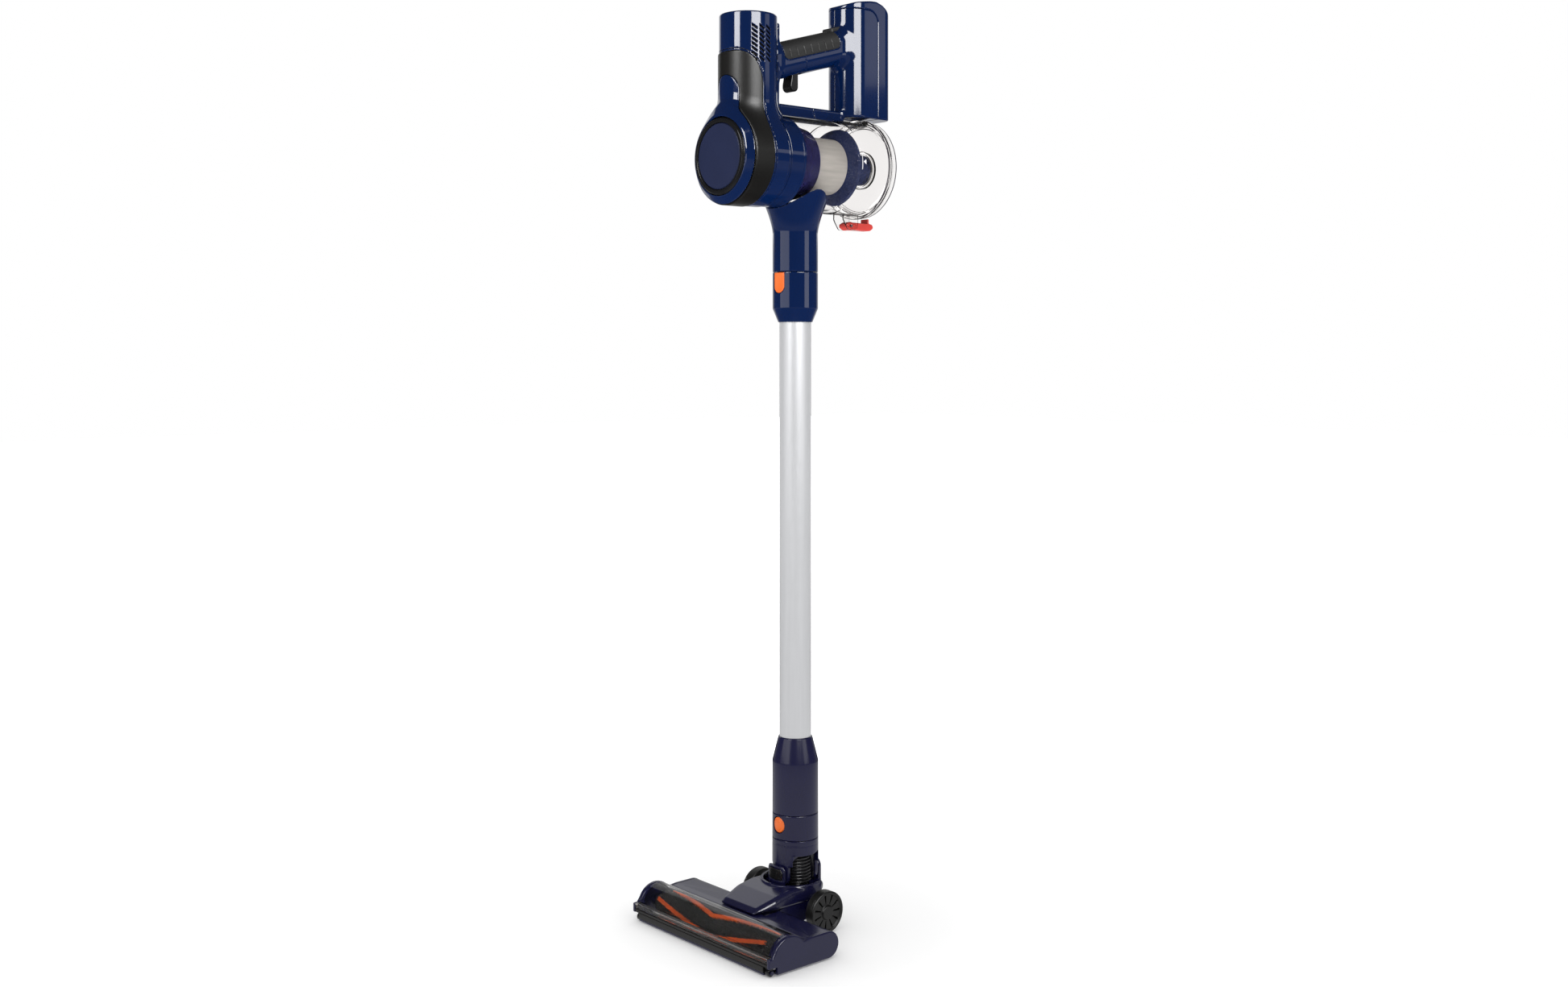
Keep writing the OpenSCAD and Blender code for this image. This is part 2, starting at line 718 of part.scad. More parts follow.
motor_housing();
accent_band();
front_bezel();
cap_ring();
cap_disc();
pleated_filter();
motor_can();
motor_rotor();
impeller();
motor_mounts();
exhaust_foam();
control_board();
handle_left();
handle_right();
handle_screws();
grip_pad();
trigger();
trigger_pin();
trigger_spring();
trigger_switch();
battery_case();
battery_cells();
battery_button();
charge_socket();
bin_collar();
dust_bin();
bin_door();
bin_seals();
bin_pins();
door_latch();
mesh_filter();
cyclone_base();
shroud_skirt();
inner_cup();
inlet_neck();
wand_socket();
wand_button();
wand_tube();
wand_lead();
foot_socket();
foot_collar();
foot_button();
elbow();
hose();
yoke();
yoke_pad();
head_base();
head_deck();
neck_cover();
end_caps();
brush_window();
front_strip();
head_pins();
wheel_left();
wheel_right();
rollers();
brush_core();
brush_strips();
brush_motor();
belt();
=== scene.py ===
"""Cordless stick vacuum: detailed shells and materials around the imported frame.

Shapes are worked out in millimetres, in the frame's own axes, and scaled to metres when the meshes
are made. Moulded shells are signed distance fields, meshed here; turned parts are lathed outlines.
"""
import math
import random
from functools import reduce

import bmesh
import bpy
import numpy as np
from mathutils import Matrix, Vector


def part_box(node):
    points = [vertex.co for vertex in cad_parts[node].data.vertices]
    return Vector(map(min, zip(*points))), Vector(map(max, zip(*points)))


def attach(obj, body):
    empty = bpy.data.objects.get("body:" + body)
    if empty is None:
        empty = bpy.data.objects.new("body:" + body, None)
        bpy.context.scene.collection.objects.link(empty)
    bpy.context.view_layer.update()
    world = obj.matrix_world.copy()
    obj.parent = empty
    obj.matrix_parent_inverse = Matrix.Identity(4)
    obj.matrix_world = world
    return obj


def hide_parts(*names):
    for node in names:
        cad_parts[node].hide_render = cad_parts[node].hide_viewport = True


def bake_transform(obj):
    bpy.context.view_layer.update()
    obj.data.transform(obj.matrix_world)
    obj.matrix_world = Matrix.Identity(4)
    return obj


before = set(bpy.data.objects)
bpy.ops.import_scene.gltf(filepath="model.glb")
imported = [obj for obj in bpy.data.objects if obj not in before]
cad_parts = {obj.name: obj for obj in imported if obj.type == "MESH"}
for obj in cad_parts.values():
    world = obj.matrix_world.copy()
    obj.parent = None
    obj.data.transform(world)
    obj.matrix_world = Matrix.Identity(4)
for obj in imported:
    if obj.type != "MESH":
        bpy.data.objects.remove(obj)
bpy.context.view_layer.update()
MM = 0.001


# ---------------------------------------------------------------- places, from the frame

def node_box(node):
    lo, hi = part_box(node)
    return np.array(lo) / MM, np.array(hi) / MM


def node_centre(node):
    lo, hi = node_box(node)
    return (lo + hi) / 2


BARREL_Z = node_centre("cap_ring")[2]
COLUMN = node_centre("motor_housing")[:2]
COLUMN[1] = node_centre("exhaust_foam")[1]
COLUMN_TOP = node_box("motor_housing")[1][2]
COLUMN_R = 33.9
BAND_R = COLUMN_R + 1.3
(_, BAND_FRONT, _), (_, BAND_END, _) = node_box("accent_band")
BAND_BACK = BAND_END + 0.4
(_, COLLAR_FRONT, _), (BIN_R, COLLAR_BACK, _) = node_box("bin_collar")
(_, BEZEL_FRONT, _), (BARREL_R, _, _) = node_box("front_bezel")
(_, _, BATTERY_BOTTOM), (BATTERY_HALF, BATTERY_BACK, BATTERY_TOP) = node_box("battery_case")
BATTERY_ROUND_Y = 92.0
BATTERY_SEAM = (111.0, 1094.2)
GRIP_SLOPE = math.radians(16.3)
GRIP_START = np.array([0.0, -30.0, 1019.6])
GRIP_W, GRIP_H = 34.0, 42.0
TRIGGER_PIN = node_centre("trigger_pin")
SOCKET_R = node_box("foot_collar")[1][0]
TUBE_R = node_box("wand_tube")[1][0]
ROLL_Z = 58.0
WHEEL = node_centre("wheel_right")
WHEEL_R = node_box("wheel_right")[1][2] / 2
BRUSH = node_centre("brush_core")
HEAD_LO, HEAD_HI = node_box("end_caps")
WINDOW_TOP = node_box("brush_window")[1][2]
DOME_R = 24.0
DOME = np.array([-117.0, WINDOW_TOP - DOME_R])


# ---------------------------------------------------------------- distance fields (millimetres)

def smooth_min(a, b, k):
    h = np.clip(0.5 + 0.5 * (b - a) / k, 0, 1)
    return b * (1 - h) + a * h - k * h * (1 - h)


def smooth_max(a, b, k=0.8):
    return -smooth_min(-a, -b, k)


def carve(a, *cuts, k=0.8):
    for cut in cuts:
        a = smooth_max(a, -cut, k)
    return a


def keep(a, *regions, k=0.8):
    for region in regions:
        a = smooth_max(a, region, k)
    return a


def both(*fields):
    """Inside every one of the fields."""
    return reduce(np.maximum, fields)


def either(*fields):
    """Inside at least one of the fields."""
    return reduce(np.minimum, fields)


def rounded_corner(u, v, r):
    """Negative where u and v are both negative, with the corner between them rounded."""
    qu, qv = u + r, v + r
    return np.hypot(np.maximum(qu, 0), np.maximum(qv, 0)) + np.minimum(np.maximum(qu, qv), 0) - r


def beyond(t, lo, hi):
    """Distance outside the stretch from lo to hi, negative inside it."""
    return np.abs(t - (lo + hi) / 2) - (hi - lo) / 2


def block(p, lo, hi, r=0.0):
    lo, hi = np.array(lo, float), np.array(hi, float)
    q = np.abs(p - (lo + hi) / 2) - (hi - lo) / 2 + r
    return np.linalg.norm(np.maximum(q, 0), axis=1) + np.minimum(q.max(1), 0) - r


def flat_box(u, v, lo, hi, r):
    """A rounded rectangle in two coordinates."""
    return rounded_corner(beyond(u, lo[0], hi[0]), beyond(v, lo[1], hi[1]), r)


def extruded(flat, t, lo, hi, r):
    """A flat distance drawn out along t from lo to hi, with edges rounded by r."""
    return rounded_corner(flat, beyond(t, lo, hi), r)


def rod(p, axis, centre, radius, lo, hi, r=0.0):
    """A cylinder along an axis; centre is its place in the other two, in order."""
    others = [i for i in range(3) if i != axis]
    across = np.hypot(p[:, others[0]] - centre[0], p[:, others[1]] - centre[1])
    return extruded(across - radius, p[:, axis], lo, hi, r)


def mirrored(p):
    """The points moved to the right side of the middle plane."""
    return np.stack([np.abs(p[:, 0]), p[:, 1], p[:, 2]], 1)


def surface_net(field, lo, hi, step):
    """Meshes a field's zero level, looking only into blocks of cells that lie near it."""
    n = 8
    lo = np.array(lo, float) - 2 * step
    blocks = np.ceil((np.array(hi, float) + 2 * step - lo) / (n * step)).astype(int)
    base = np.stack(np.meshgrid(*[np.arange(b) for b in blocks], indexing="ij"), -1).reshape(-1, 3)
    base = base[np.abs(field(lo + (base + 0.5) * n * step)) < n * step * 1.05] * n
    local = np.stack(np.meshgrid(*[np.arange(n + 1)] * 3, indexing="ij"), -1).reshape(-1, 3)
    d = field((lo + (base[:, None] + local[None]).reshape(-1, 3) * step)).reshape(-1, n + 1, n + 1, n + 1)
    inside = d < 0
    size = blocks * n + 2

    def key(cell):
        return (cell[:, 0] * size[1] + cell[:, 1]) * size[2] + cell[:, 2]

    corners = [(x, y, z) for x in (0, 1) for y in (0, 1) for z in (0, 1)]
    count = sum(inside[:, x:n + x, y:n + y, z:n + z].astype(int) for x, y, z in corners)
    b, i, j, k = np.nonzero((count > 0) & (count < 8))
    cell = np.stack([i, j, k], 1)
    total, hits = np.zeros((len(b), 3)), np.zeros(len(b))
    for start in corners:
        for axis in range(3):
            if start[axis]:
                continue
            end = list(start)
            end[axis] = 1
            d0 = d[b, i + start[0], j + start[1], k + start[2]]
            d1 = d[b, i + end[0], j + end[1], k + end[2]]
            cross = (d0 < 0) != (d1 < 0)
            along = np.where(cross, d0 / np.where(cross, d0 - d1, 1), 0)
            point = np.array(start, float)[None].repeat(len(b), 0)
            point[:, axis] = along
            total += np.where(cross[:, None], point, 0)
            hits += cross
    verts = lo + (base[b] + cell + total / hits[:, None]) * step
    keys = key(base[b] + cell)
    order = np.argsort(keys)
    ranked = keys[order]
    quads = []
    for axis in range(3):
        u, v = (axis + 1) % 3, (axis + 2) % 3
        here = inside[:, :n, :n, :n]
        dx, dy, dz = (int(axis == other) for other in range(3))
        there = inside[:, dx:n + dx, dy:n + dy, dz:n + dz]
        b, i, j, k = np.nonzero(here != there)
        point = base[b] + np.stack([i, j, k], 1)
        quad = []
        for du, dv in ((0, 0), (1, 0), (1, 1), (0, 1)):
            cell = point.copy()
            cell[:, u] -= du
            cell[:, v] -= dv
            found = np.minimum(np.searchsorted(ranked, key(cell)), len(ranked) - 1)
            quad.append(np.where(ranked[found] == key(cell), order[found], -1))
        quad = np.stack(quad, 1)
        flip = ~here[b, i, j, k]
        quad[flip] = quad[flip][:, ::-1]
        quads.append(quad[(quad >= 0).all(1)])
    quads = np.concatenate(quads)
    nudge = 0.04
    for _ in range(3):
        slope = np.stack([field(verts + s) - field(verts - s) for s in np.eye(3) * nudge], 1) / (2 * nudge)
        move = -field(verts)[:, None] * slope / np.maximum((slope ** 2).sum(1), 0.2)[:, None]
        verts = verts + np.clip(move, -step, step)
    return verts, quads


# ---------------------------------------------------------------- making objects


def placed(name, data, location=(0, 0, 0)):
    obj = bpy.data.objects.new(name, data)
    obj.location = location
    bpy.context.scene.collection.objects.link(obj)
    return obj


def make_object(name, verts, faces, material, nodes="", body="stick", angle=35.0):
    """A mesh in millimetres that rides on a body and stands in for the named CAD nodes."""
    mesh = bpy.data.meshes.new(name)
    mesh.from_pydata((np.asarray(verts) * MM).tolist(), [], [list(map(int, f)) for f in faces])
    mesh.validate()
    mesh.update()
    mesh.polygons.foreach_set("use_smooth", [True] * len(mesh.polygons))
    mesh.set_sharp_from_angle(angle=math.radians(angle))
    mesh.materials.append(material)
    obj = placed(name, mesh)
    if body:
        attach(obj, body)
    if nodes:
        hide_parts(*nodes.split())
    return obj


def moulded(name, field, lo, hi, step, material, nodes="", body="stick"):
    verts, quads = surface_net(field, lo, hi, step * (1.0))
    return make_object(name, verts, quads, material, nodes, body, angle=50.0)


def fillet(points, closed=True, steps=5):
    """Rounds an outline's corners: each point is (u, v) or (u, v, radius)."""
    out = []
    count = len(points)
    for i, point in enumerate(points):
        here = np.array(point[:2], float)
        radius = point[2] if len(point) > 2 else 0
        if not radius or (not closed and i in (0, count - 1)):
            out.append(here)
            continue
        before = np.array(points[i - 1][:2], float) - here
        after = np.array(points[(i + 1) % count][:2], float) - here
        la, lb = np.linalg.norm(before), np.linalg.norm(after)
        before, after = before / la, after / lb
        half = math.acos(np.clip(before @ after, -1, 1)) / 2
        if half > 1.55:
            out.append(here)
            continue
        cut = min(radius / math.tan(half), 0.49 * la, 0.49 * lb)
        r = cut * math.tan(half)
        centre = here + (before + after) / np.linalg.norm(before + after) * (r / math.sin(half))
        a, b = here + before * cut - centre, here + after * cut - centre
        sweep = math.pi - 2 * half
        for s in range(steps + 1):
            t = s / steps
            out.append(centre + (a * math.sin((1 - t) * sweep) + b * math.sin(t * sweep)) / math.sin(sweep))
    return np.array(out)


def lathed(name, axis, points, material, nodes="", body="stick", centre=None, turns=128,
           closed=True):
    """Turns an outline of (radius, height) about an axis: Y through the barrel, Z up the wand, or X."""
    outline = fillet(points, closed)
    a = np.arange(turns) * 2 * math.pi / turns
    r, h = outline[:, 0][None, :], outline[:, 1][None, :]
    c, s = np.cos(a)[:, None], np.sin(a)[:, None]
    h = h + 0 * c
    grid = {"X": (h, r * c, r * s), "Y": (r * c, h, r * s), "Z": (r * c, r * s, h)}[axis]
    centre = centre or {"Y": (0, 0, BARREL_Z), "Z": (0, 0, 0)}[axis]
    verts = np.stack(grid, -1).reshape(-1, 3) + np.array(centre, float)
    n = len(outline)
    faces = []
    for i in range(turns):
        for j in range(n if closed else n - 1):
            k, i1 = (j + 1) % n, (i + 1) % turns
            faces.append([i * n + j, i * n + k, i1 * n + k, i1 * n + j])
    if not closed:
        for end in (0, n - 1):
            faces.append([i * n + end for i in range(turns)])
    obj = make_object(name, verts, faces, material, nodes, body)
    tidy_normals(obj)
    return obj


def tidy_normals(obj):
    bm = bmesh.new()
    bm.from_mesh(obj.data)
    bmesh.ops.remove_doubles(bm, verts=bm.verts, dist=1e-7)
    bmesh.ops.recalc_face_normals(bm, faces=bm.faces)
    bm.to_mesh(obj.data)
    bm.free()


def drawn_out(name, points, x0, x1, material, nodes="", body="stick", bevel=0.3, cuts=24):
    """Draws an outline in Y and Z out along X, with its end edges bevelled."""
    outline = fillet(points)
    n = len(outline)
    xs = np.linspace(x0, x1, cuts + 1)
    verts = [[x, y, z] for x in xs for y, z in outline]
    faces = [[s * n + j, s * n + (j + 1) % n, (s + 1) * n + (j + 1) % n, (s + 1) * n + j]
             for s in range(cuts) for j in range(n)]
    faces += [list(range(n)), [cuts * n + j for j in range(n)][::-1]]
    obj = make_object(name, verts, faces, material, nodes, body)
    tidy_normals(obj)
    mod = obj.modifiers.new("edges", "BEVEL")
    mod.width = bevel * MM
    mod.segments = 3
    mod.limit_method = "ANGLE"
    mod.angle_limit = math.radians(50)
    mod.harden_normals = True
    return obj


def profile(points, u, v):
    """Signed distance to a closed outline; a point may carry a corner radius."""
    pts = fillet(points, steps=4)
    best = np.full(len(u), 1e9)
    inside = np.zeros(len(u), bool)
    for (au, av), (bu, bv) in zip(pts, np.roll(pts, -1, axis=0)):
        eu, ev = bu - au, bv - av
        length = eu * eu + ev * ev
        if length < 1e-12:
            continue
        t = np.clip(((u - au) * eu + (v - av) * ev) / length, 0, 1)
        best = np.minimum(best, (u - au - eu * t) ** 2 + (v - av - ev * t) ** 2)
        if ev:
            inside ^= ((av > v) != (bv > v)) & (u < au + (v - av) * eu / ev)
    best = np.sqrt(best)
    return np.where(inside, -best, best)


def arc(centre, radius, start, end, steps=10):
    angles = np.radians(np.linspace(start, end, steps + 1))
    return [(centre[0] + radius * math.cos(a), centre[1] + radius * math.sin(a)) for a in angles]


# ---------------------------------------------------------------- materials

def fill(tree, node, inputs):
    """Gives a node its inputs: a socket is linked, and anything else is the input's value."""
    for key, value in inputs.items():
        if isinstance(value, bpy.types.NodeSocket):
            tree.links.new(value, node.inputs[key])
        else:
            node.inputs[key].default_value = value


def shader(tree, kind, output, inputs, **settings):
    """Adds a shader node and returns one of its outputs."""
    node = tree.nodes.new("ShaderNode" + kind)
    for key, value in settings.items():
        setattr(node, key, value)
    fill(tree, node, inputs)
    return node.outputs[output]


def new_material(name):
    mat = bpy.data.materials.new(name)
    mat.use_nodes = True
    return mat, mat.node_tree, mat.node_tree.nodes["Principled BSDF"]


def noise(tree, scale, detail=3.0, stretch=(1, 1, 1)):
    coords = shader(tree, "TexCoord", "Object", {})
    mapped = shader(tree, "Mapping", "Vector", {"Vector": coords, "Scale": stretch})
    return shader(tree, "TexNoise", "Fac", {"Vector": mapped, "Scale": scale, "Detail": detail})


def spread(tree, value, low, high, start=0.3, end=0.7, **settings):
    """Maps the stretch from start to end onto low to high."""
    return shader(tree, "MapRange", "Result", {"Value": value, "From Min": start, "From Max": end,
                                               "To Min": low, "To Max": high}, **settings)


def ramp(tree, value, stops):
    """A colour for each value, from (place, colour) stops."""
    colour = shader(tree, "ValToRGB", "Color", {"Fac": value})
    elements = colour.node.color_ramp.elements
    elements[0].position, elements[1].position = stops[0][0], stops[-1][0]
    for place, _ in stops[1:-1]:
        elements.new(place)
    for element, (_, shade) in zip(elements, stops):
        element.color = (*shade, 1)
    return colour


def two_tone(tree, value, dark, light):
    return ramp(tree, value, [(0.3, dark), (0.7, light)])


def bump(tree, value, height_mm, strength=1.0):
    return shader(tree, "Bump", "Normal", {"Height": value, "Distance": height_mm * MM, "Strength": strength})


def plastic(name, colour, rough, grain=900.0, depth=0.01, vary=0.08, metallic=0.0, coat=0.0, sheen=0.0,
            stretch=(1, 1, 1), shine=0.5):
    """Moulded plastic, rubber or metal: colour, roughness and a fine surface that all vary a little."""
    mat, tree, bsdf = new_material(name)
    broad = noise(tree, 28.0, 4.0, stretch)
    fine = noise(tree, grain, 2.0, stretch)
    dark = [c * (1 - vary) for c in colour]
    light = [min(c * (1 + vary), 1) for c in colour]
    fill(tree, bsdf, {
        "Base Color": two_tone(tree, broad, dark, light),
        "Roughness": spread(tree, fine, rough * 0.85, rough * 1.15), "Normal": bump(tree, fine, depth),
        "Metallic": metallic, "Coat Weight": coat, "Coat Roughness": 0.04, "Sheen Weight": sheen,
        "Specular IOR Level": shine})
    return mat


def clear(name, colour, rough, ior):
    mat, tree, bsdf = new_material(name)
    broad = noise(tree, 18.0, 2.0)
    fill(tree, bsdf, {
        "Base Color": two_tone(tree, broad, [c * 0.98 for c in colour], colour),
        "Roughness": spread(tree, broad, rough * 0.7, rough * 1.4), "Normal": bump(tree, broad, 0.02, 0.3),
        "Transmission Weight": 1.0, "IOR": ior})
    return mat


def woven(name, colour, pitch_mm):
    """Fine wire cloth: two sets of wires, seen as bands of height and shade."""
    mat, tree, bsdf = new_material(name)
    coords = shader(tree, "TexCoord", "Object", {})
    bands = [shader(tree, "TexWave", "Fac", {"Vector": coords, "Scale": 0.314 / (pitch_mm * MM) / 2},
                    bands_direction=direction) for direction in ("Y", "Z")]
    both_sets = shader(tree, "Math", "Value", {0: bands[0], 1: bands[1]}, operation="MULTIPLY")
    streaks = noise(tree, 60.0, 5.0, (4, 0.4, 4))
    fill(tree, bsdf, {
        "Base Color": two_tone(tree, streaks, [c * 0.8 for c in colour], colour),
        "Roughness": spread(tree, streaks, 0.38, 0.55), "Normal": bump(tree, both_sets, 0.12),
        "Metallic": 0.2})
    return mat


NAVY = plastic("navy_gloss", (0.0012, 0.0100, 0.055), 0.085, 500.0, 0.004, 0.05, coat=0.25)
HEAD_NAVY = plastic("head_navy", (0.0065, 0.0065, 0.038), 0.22, 900.0, 0.006, 0.06, coat=0.15)
CAP_NAVY = plastic("cap_navy", (0.013, 0.019, 0.058), 0.42, 1400.0, 0.02, 0.06, shine=0.15)
BLACK = plastic("black_satin", (0.0060, 0.0055, 0.0048), 0.36, 1200.0, 0.015, 0.10, shine=0.45)
DARK = plastic("black_gloss", (0.006, 0.006, 0.007), 0.22, 900.0, 0.006, 0.10)
RUBBER = plastic("black_rubber", (0.012, 0.012, 0.012), 0.55, 1600.0, 0.03, 0.12)
WHEEL_RUBBER = plastic("wheel_rubber", (0.0045, 0.0045, 0.0045), 0.40, 1500.0, 0.03, 0.12)
TICK = plastic("tick_grey", (0.045, 0.045, 0.045), 0.35, 1200.0, 0.01, 0.10)
# painted shade: a grey for thin lines that stand in for the dark look of the clear bin's rims
EDGE_SHADE = plastic("painted_rim_shade", (0.060, 0.052, 0.066), 0.15, 900.0, 0.004, 0.10, coat=0.2)
CLEAR = clear("clear_plastic", (0.975, 0.962, 0.955), 0.02, 1.35)
CLEAR_WALL = clear("clear_wall", (0.985, 0.975, 0.97), 0.02, 1.08)
SMOKED = clear("clear_smoked", (0.93, 0.91, 0.90), 0.03, 1.35)
RED = plastic("red_plastic", (0.62, 0.06, 0.05), 0.16, 700.0, 0.005, 0.08, coat=0.3)
ORANGE = plastic("orange_plastic", (0.82, 0.145, 0.012), 0.34, 1100.0, 0.01, 0.05)
TUFT = plastic("orange_bristle", (0.86, 0.15, 0.03), 0.55, 2500.0, 0.08, 0.2, sheen=0.2)
FLUFF = plastic("brush_fibre", (0.016, 0.015, 0.014), 0.8, 1800.0, 0.25, 0.45, sheen=0.5)
MESH = woven("filter_mesh", (0.50, 0.475, 0.44), 0.55)
SLATE = plastic("slate_plastic", (0.024, 0.032, 0.085), 0.26, 800.0, 0.006, 0.06)
BASE = plastic("base_plastic", (0.014, 0.013, 0.060), 0.16, 700.0, 0.005, 0.06, coat=0.3)
ALUMINIUM = plastic("tube_aluminium", (0.60, 0.605, 0.62), 0.40, 260.0, 0.004, 0.03, metallic=0.35,
                    stretch=(6, 6, 0.35))
PRINT = plastic("print_white", (0.80, 0.80, 0.82), 0.5, 900.0, 0.002, 0.03)
HOSE_RUBBER = plastic("hose_rubber", (0.012, 0.012, 0.014), 0.17, 900.0, 0.008, 0.12, coat=0.4)
WINDOW = clear("window_clear", (0.97, 0.965, 0.96), 0.015, 1.30)
STEEL = plastic("steel", (0.52, 0.52, 0.53), 0.28, 700.0, 0.006, 0.08, metallic=1.0)
PAPER = plastic("filter_paper", (0.72, 0.71, 0.66), 0.85, 900.0, 0.05, 0.10)
FOAM = plastic("foam", (0.010, 0.010, 0.011), 0.95, 700.0, 0.4, 0.35)
BOARD = plastic("board_green", (0.012, 0.09, 0.035), 0.4, 500.0, 0.02, 0.2)
CELL = plastic("cell_wrap", (0.16, 0.06, 0.30), 0.35, 600.0, 0.005, 0.05)

# CAD nodes that keep their own shape, with what they are made of
KEPT = [
    (STEEL, "motor_can motor_rotor impeller handle_screws trigger_pin trigger_spring bin_pins head_pins"
            " brush_motor"),
    (RUBBER, "motor_mounts bin_seals wand_lead belt"), (BLACK, "trigger_switch battery_button charge_socket"),
    (PAPER, "pleated_filter"), (FOAM, "exhaust_foam"), (BOARD, "control_board"), (CELL, "battery_cells"),
    (HEAD_NAVY, "head_base"),
]
for material, nodes in KEPT:
    for node in nodes.split():
        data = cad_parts[node].data
        data.materials.clear()
        data.materials.append(material)


# ---------------------------------------------------------------- motor housing, band and bezel

def barrel_radius(p):
    return np.hypot(p[:, 0], p[:, 2] - BARREL_Z)


def hand_hull(p, body_r, column_r):
    """The column blended into the barrel's front, whose lip is a cone."""
    r, y = barrel_radius(p), p[:, 1]
    lip_r = BARREL_R - 9.1
    rise, run = body_r - lip_r, BAND_FRONT - BEZEL_FRONT
    cone = ((r - lip_r) * run - (y - BEZEL_FRONT) * rise) / math.hypot(rise, run)
    body = smooth_max(smooth_max(r - body_r, cone, 1.6), BEZEL_FRONT - y, 1.6)
    column = rod(p, 2, COLUMN, column_r, BARREL_Z - 20, COLUMN_TOP, 2.2)
    return smooth_min(column, body, 19.0)


def band_edge(p):
    """Negative where the black band lies: a quarter ellipse up the column, plumb below it."""
    y = np.maximum(p[:, 1] + 106, 0)
    z = np.maximum(p[:, 2] - 980, 0)
    wide, tall = BAND_BACK + 106, 42.0
    a = np.hypot(y / wide, z / tall)
    b = np.maximum(np.hypot(y / wide ** 2, z / tall ** 2), 1e-6)
    return a * (a - 1) / b


def tongue_edge(p):
    z = np.maximum(p[:, 2] - 976.4, 0)
    side = np.hypot(p[:, 0], z) - 18.6
    return both(side, p[:, 1] + 92, BARREL_Z + 40 - p[:, 2])


def bezel_edge(p):
    """Negative where the bezel lies: the front of the barrel, flowing into its tongue."""
    return smooth_min(p[:, 1] - BAND_FRONT, tongue_edge(p), 0.5 + 12 * np.clip((985 - p[:, 2]) / 25, 0, 1))


def bezel_field(p):
    h = hand_hull(p, BARREL_R, BAND_R - 0.1)
    return keep(h, -(h + 3.2), bezel_edge(p) + 0.1, 45.4 - barrel_radius(p), k=0.7)


def band_field(p):
    h = hand_hull(p, BARREL_R + 0.2, BAND_R)
    return keep(h, -(h + 3.2), band_edge(p) + 0.2, 0.3 - bezel_edge(p), k=0.7)


def vent_cuts(p):
    """Three columns of sloping slots on each side of the motor column."""
    middle, spacing, pitch = 78.5, 15.5, 5.2
    x, y = p[:, 0] - COLUMN[0], p[:, 1] - COLUMN[1]
    azimuth = np.degrees(np.arctan2(np.abs(x), -y)) - middle
    u = np.radians(azimuth - spacing * np.clip(np.round(azimuth / spacing), -1, 1)) * COLUMN_R
    v = (p[:, 2] - 1031 + math.tan(math.radians(33)) * u) / pitch - 0.5
    v = (v - np.clip(np.round(v), -4, 3)) * pitch
    slot = smooth_max(np.abs(u) - 3.3, np.abs(v) * 0.84 - 1.05, 0.6)
    return np.maximum(slot, COLUMN_R - 4.5 - np.hypot(x, y))


def housing_field(p):
    h = hand_hull(p, BARREL_R - 0.6, COLUMN_R)
    r = barrel_radius(p)
    column = np.hypot(p[:, 0] - COLUMN[0], p[:, 1] - COLUMN[1]) - COLUMN_R
    collar_gap = np.minimum(p[:, 1] - COLLAR_FRONT + 0.3, np.maximum(BIN_R + 0.7 - r, column - 6))
    d = keep(h, -(h + 3.0), 0.2 - band_edge(p), collar_gap, k=0.7)
    groove = np.maximum(np.abs(band_edge(p) - 2.8) - 0.35, -(h + 0.9))
    return carve(carve(d, vent_cuts(p), k=0.5), groove, k=0.3)


def paint_slot_shade(housing):
    """Painted shade: the sides of the vent slots get the black material, for the dark inside the slots; they
    are the faces just inside the column's surface.
    """
    mesh = housing.data
    mesh.materials.append(BLACK)
    for face in mesh.polygons:
        x, y, z = face.center / MM
        inside = math.hypot(x - COLUMN[0], y - COLUMN[1]) < COLUMN_R - 0.3
        if inside and 1008 < z < 1055:
            face.material_index = 1


def make_hand_front():
    low = BARREL_Z - 57
    front = (-57, BEZEL_FRONT - 1, low)
    moulded("bezel_shell", bezel_field, front, (57, -90, 997), 0.85, NAVY, "front_bezel")
    moulded("band_shell", band_field, front, (57, BAND_BACK + 1, 1024), 0.85, BLACK, "accent_band")
    housing = moulded("housing_shell", housing_field, (-57, -108, low), (57, -35, COLUMN_TOP + 1), 0.72, NAVY,
                      "motor_housing")
    # painted shade: the sides of the vent slots are given the black material
    paint_slot_shade(housing)
    lathed("cap_ring_shell", "Y", [
        (38.5, -110.5), (38.5, -116.8, 0.5), (39.6, -118, 0.8), (43.0, -118, 1.2), (45, -115.4, 1.2),
        (45, -110.5)], DARK, "cap_ring", "filter_cap", turns=160)
    lathed("cap_disc_shell", "Y", [
        (0, -117.55), (36.9, -117.3, 0.6), (38.1, -116.3, 0.5), (38.1, -113), (36, -113), (36, -104),
        (33, -104), (33, -114), (0, -114)], CAP_NAVY, "cap_disc", "filter_cap", turns=160, closed=False)
    inner, step = BIN_R - 2.4, BIN_R + 0.5
    lathed("collar_shell", "Y", [
        (BIN_R, COLLAR_FRONT, 0.8), (BIN_R, -53.2, 0.3), (BIN_R - 0.7, -52.8), (BIN_R - 0.7, -52.2),
        (BIN_R, -51.8, 0.3), (BIN_R, -33.4, 0.3), (step, -33, 0.3), (step, COLLAR_BACK, 0.5),
        (inner, COLLAR_BACK), (inner, -53.6), (34, -53.6), (34, COLLAR_FRONT)], NAVY, "bin_collar", turns=160)


# ---------------------------------------------------------------- handle, grip, trigger and battery

def battery_plan(p, inset):
    half = BATTERY_HALF - inset
    corner = BATTERY_HALF / 2 - inset
    disc = np.hypot(p[:, 0], p[:, 1] - BATTERY_ROUND_Y) - half
    box = flat_box(p[:, 0], p[:, 1], (-half, BATTERY_ROUND_Y - corner), (half, BATTERY_BACK - inset), corner)
    return np.minimum(disc, box)


def case_seam(p):
    return rounded_corner(p[:, 1] - BATTERY_SEAM[0], p[:, 2] - BATTERY_SEAM[1], 15.0)


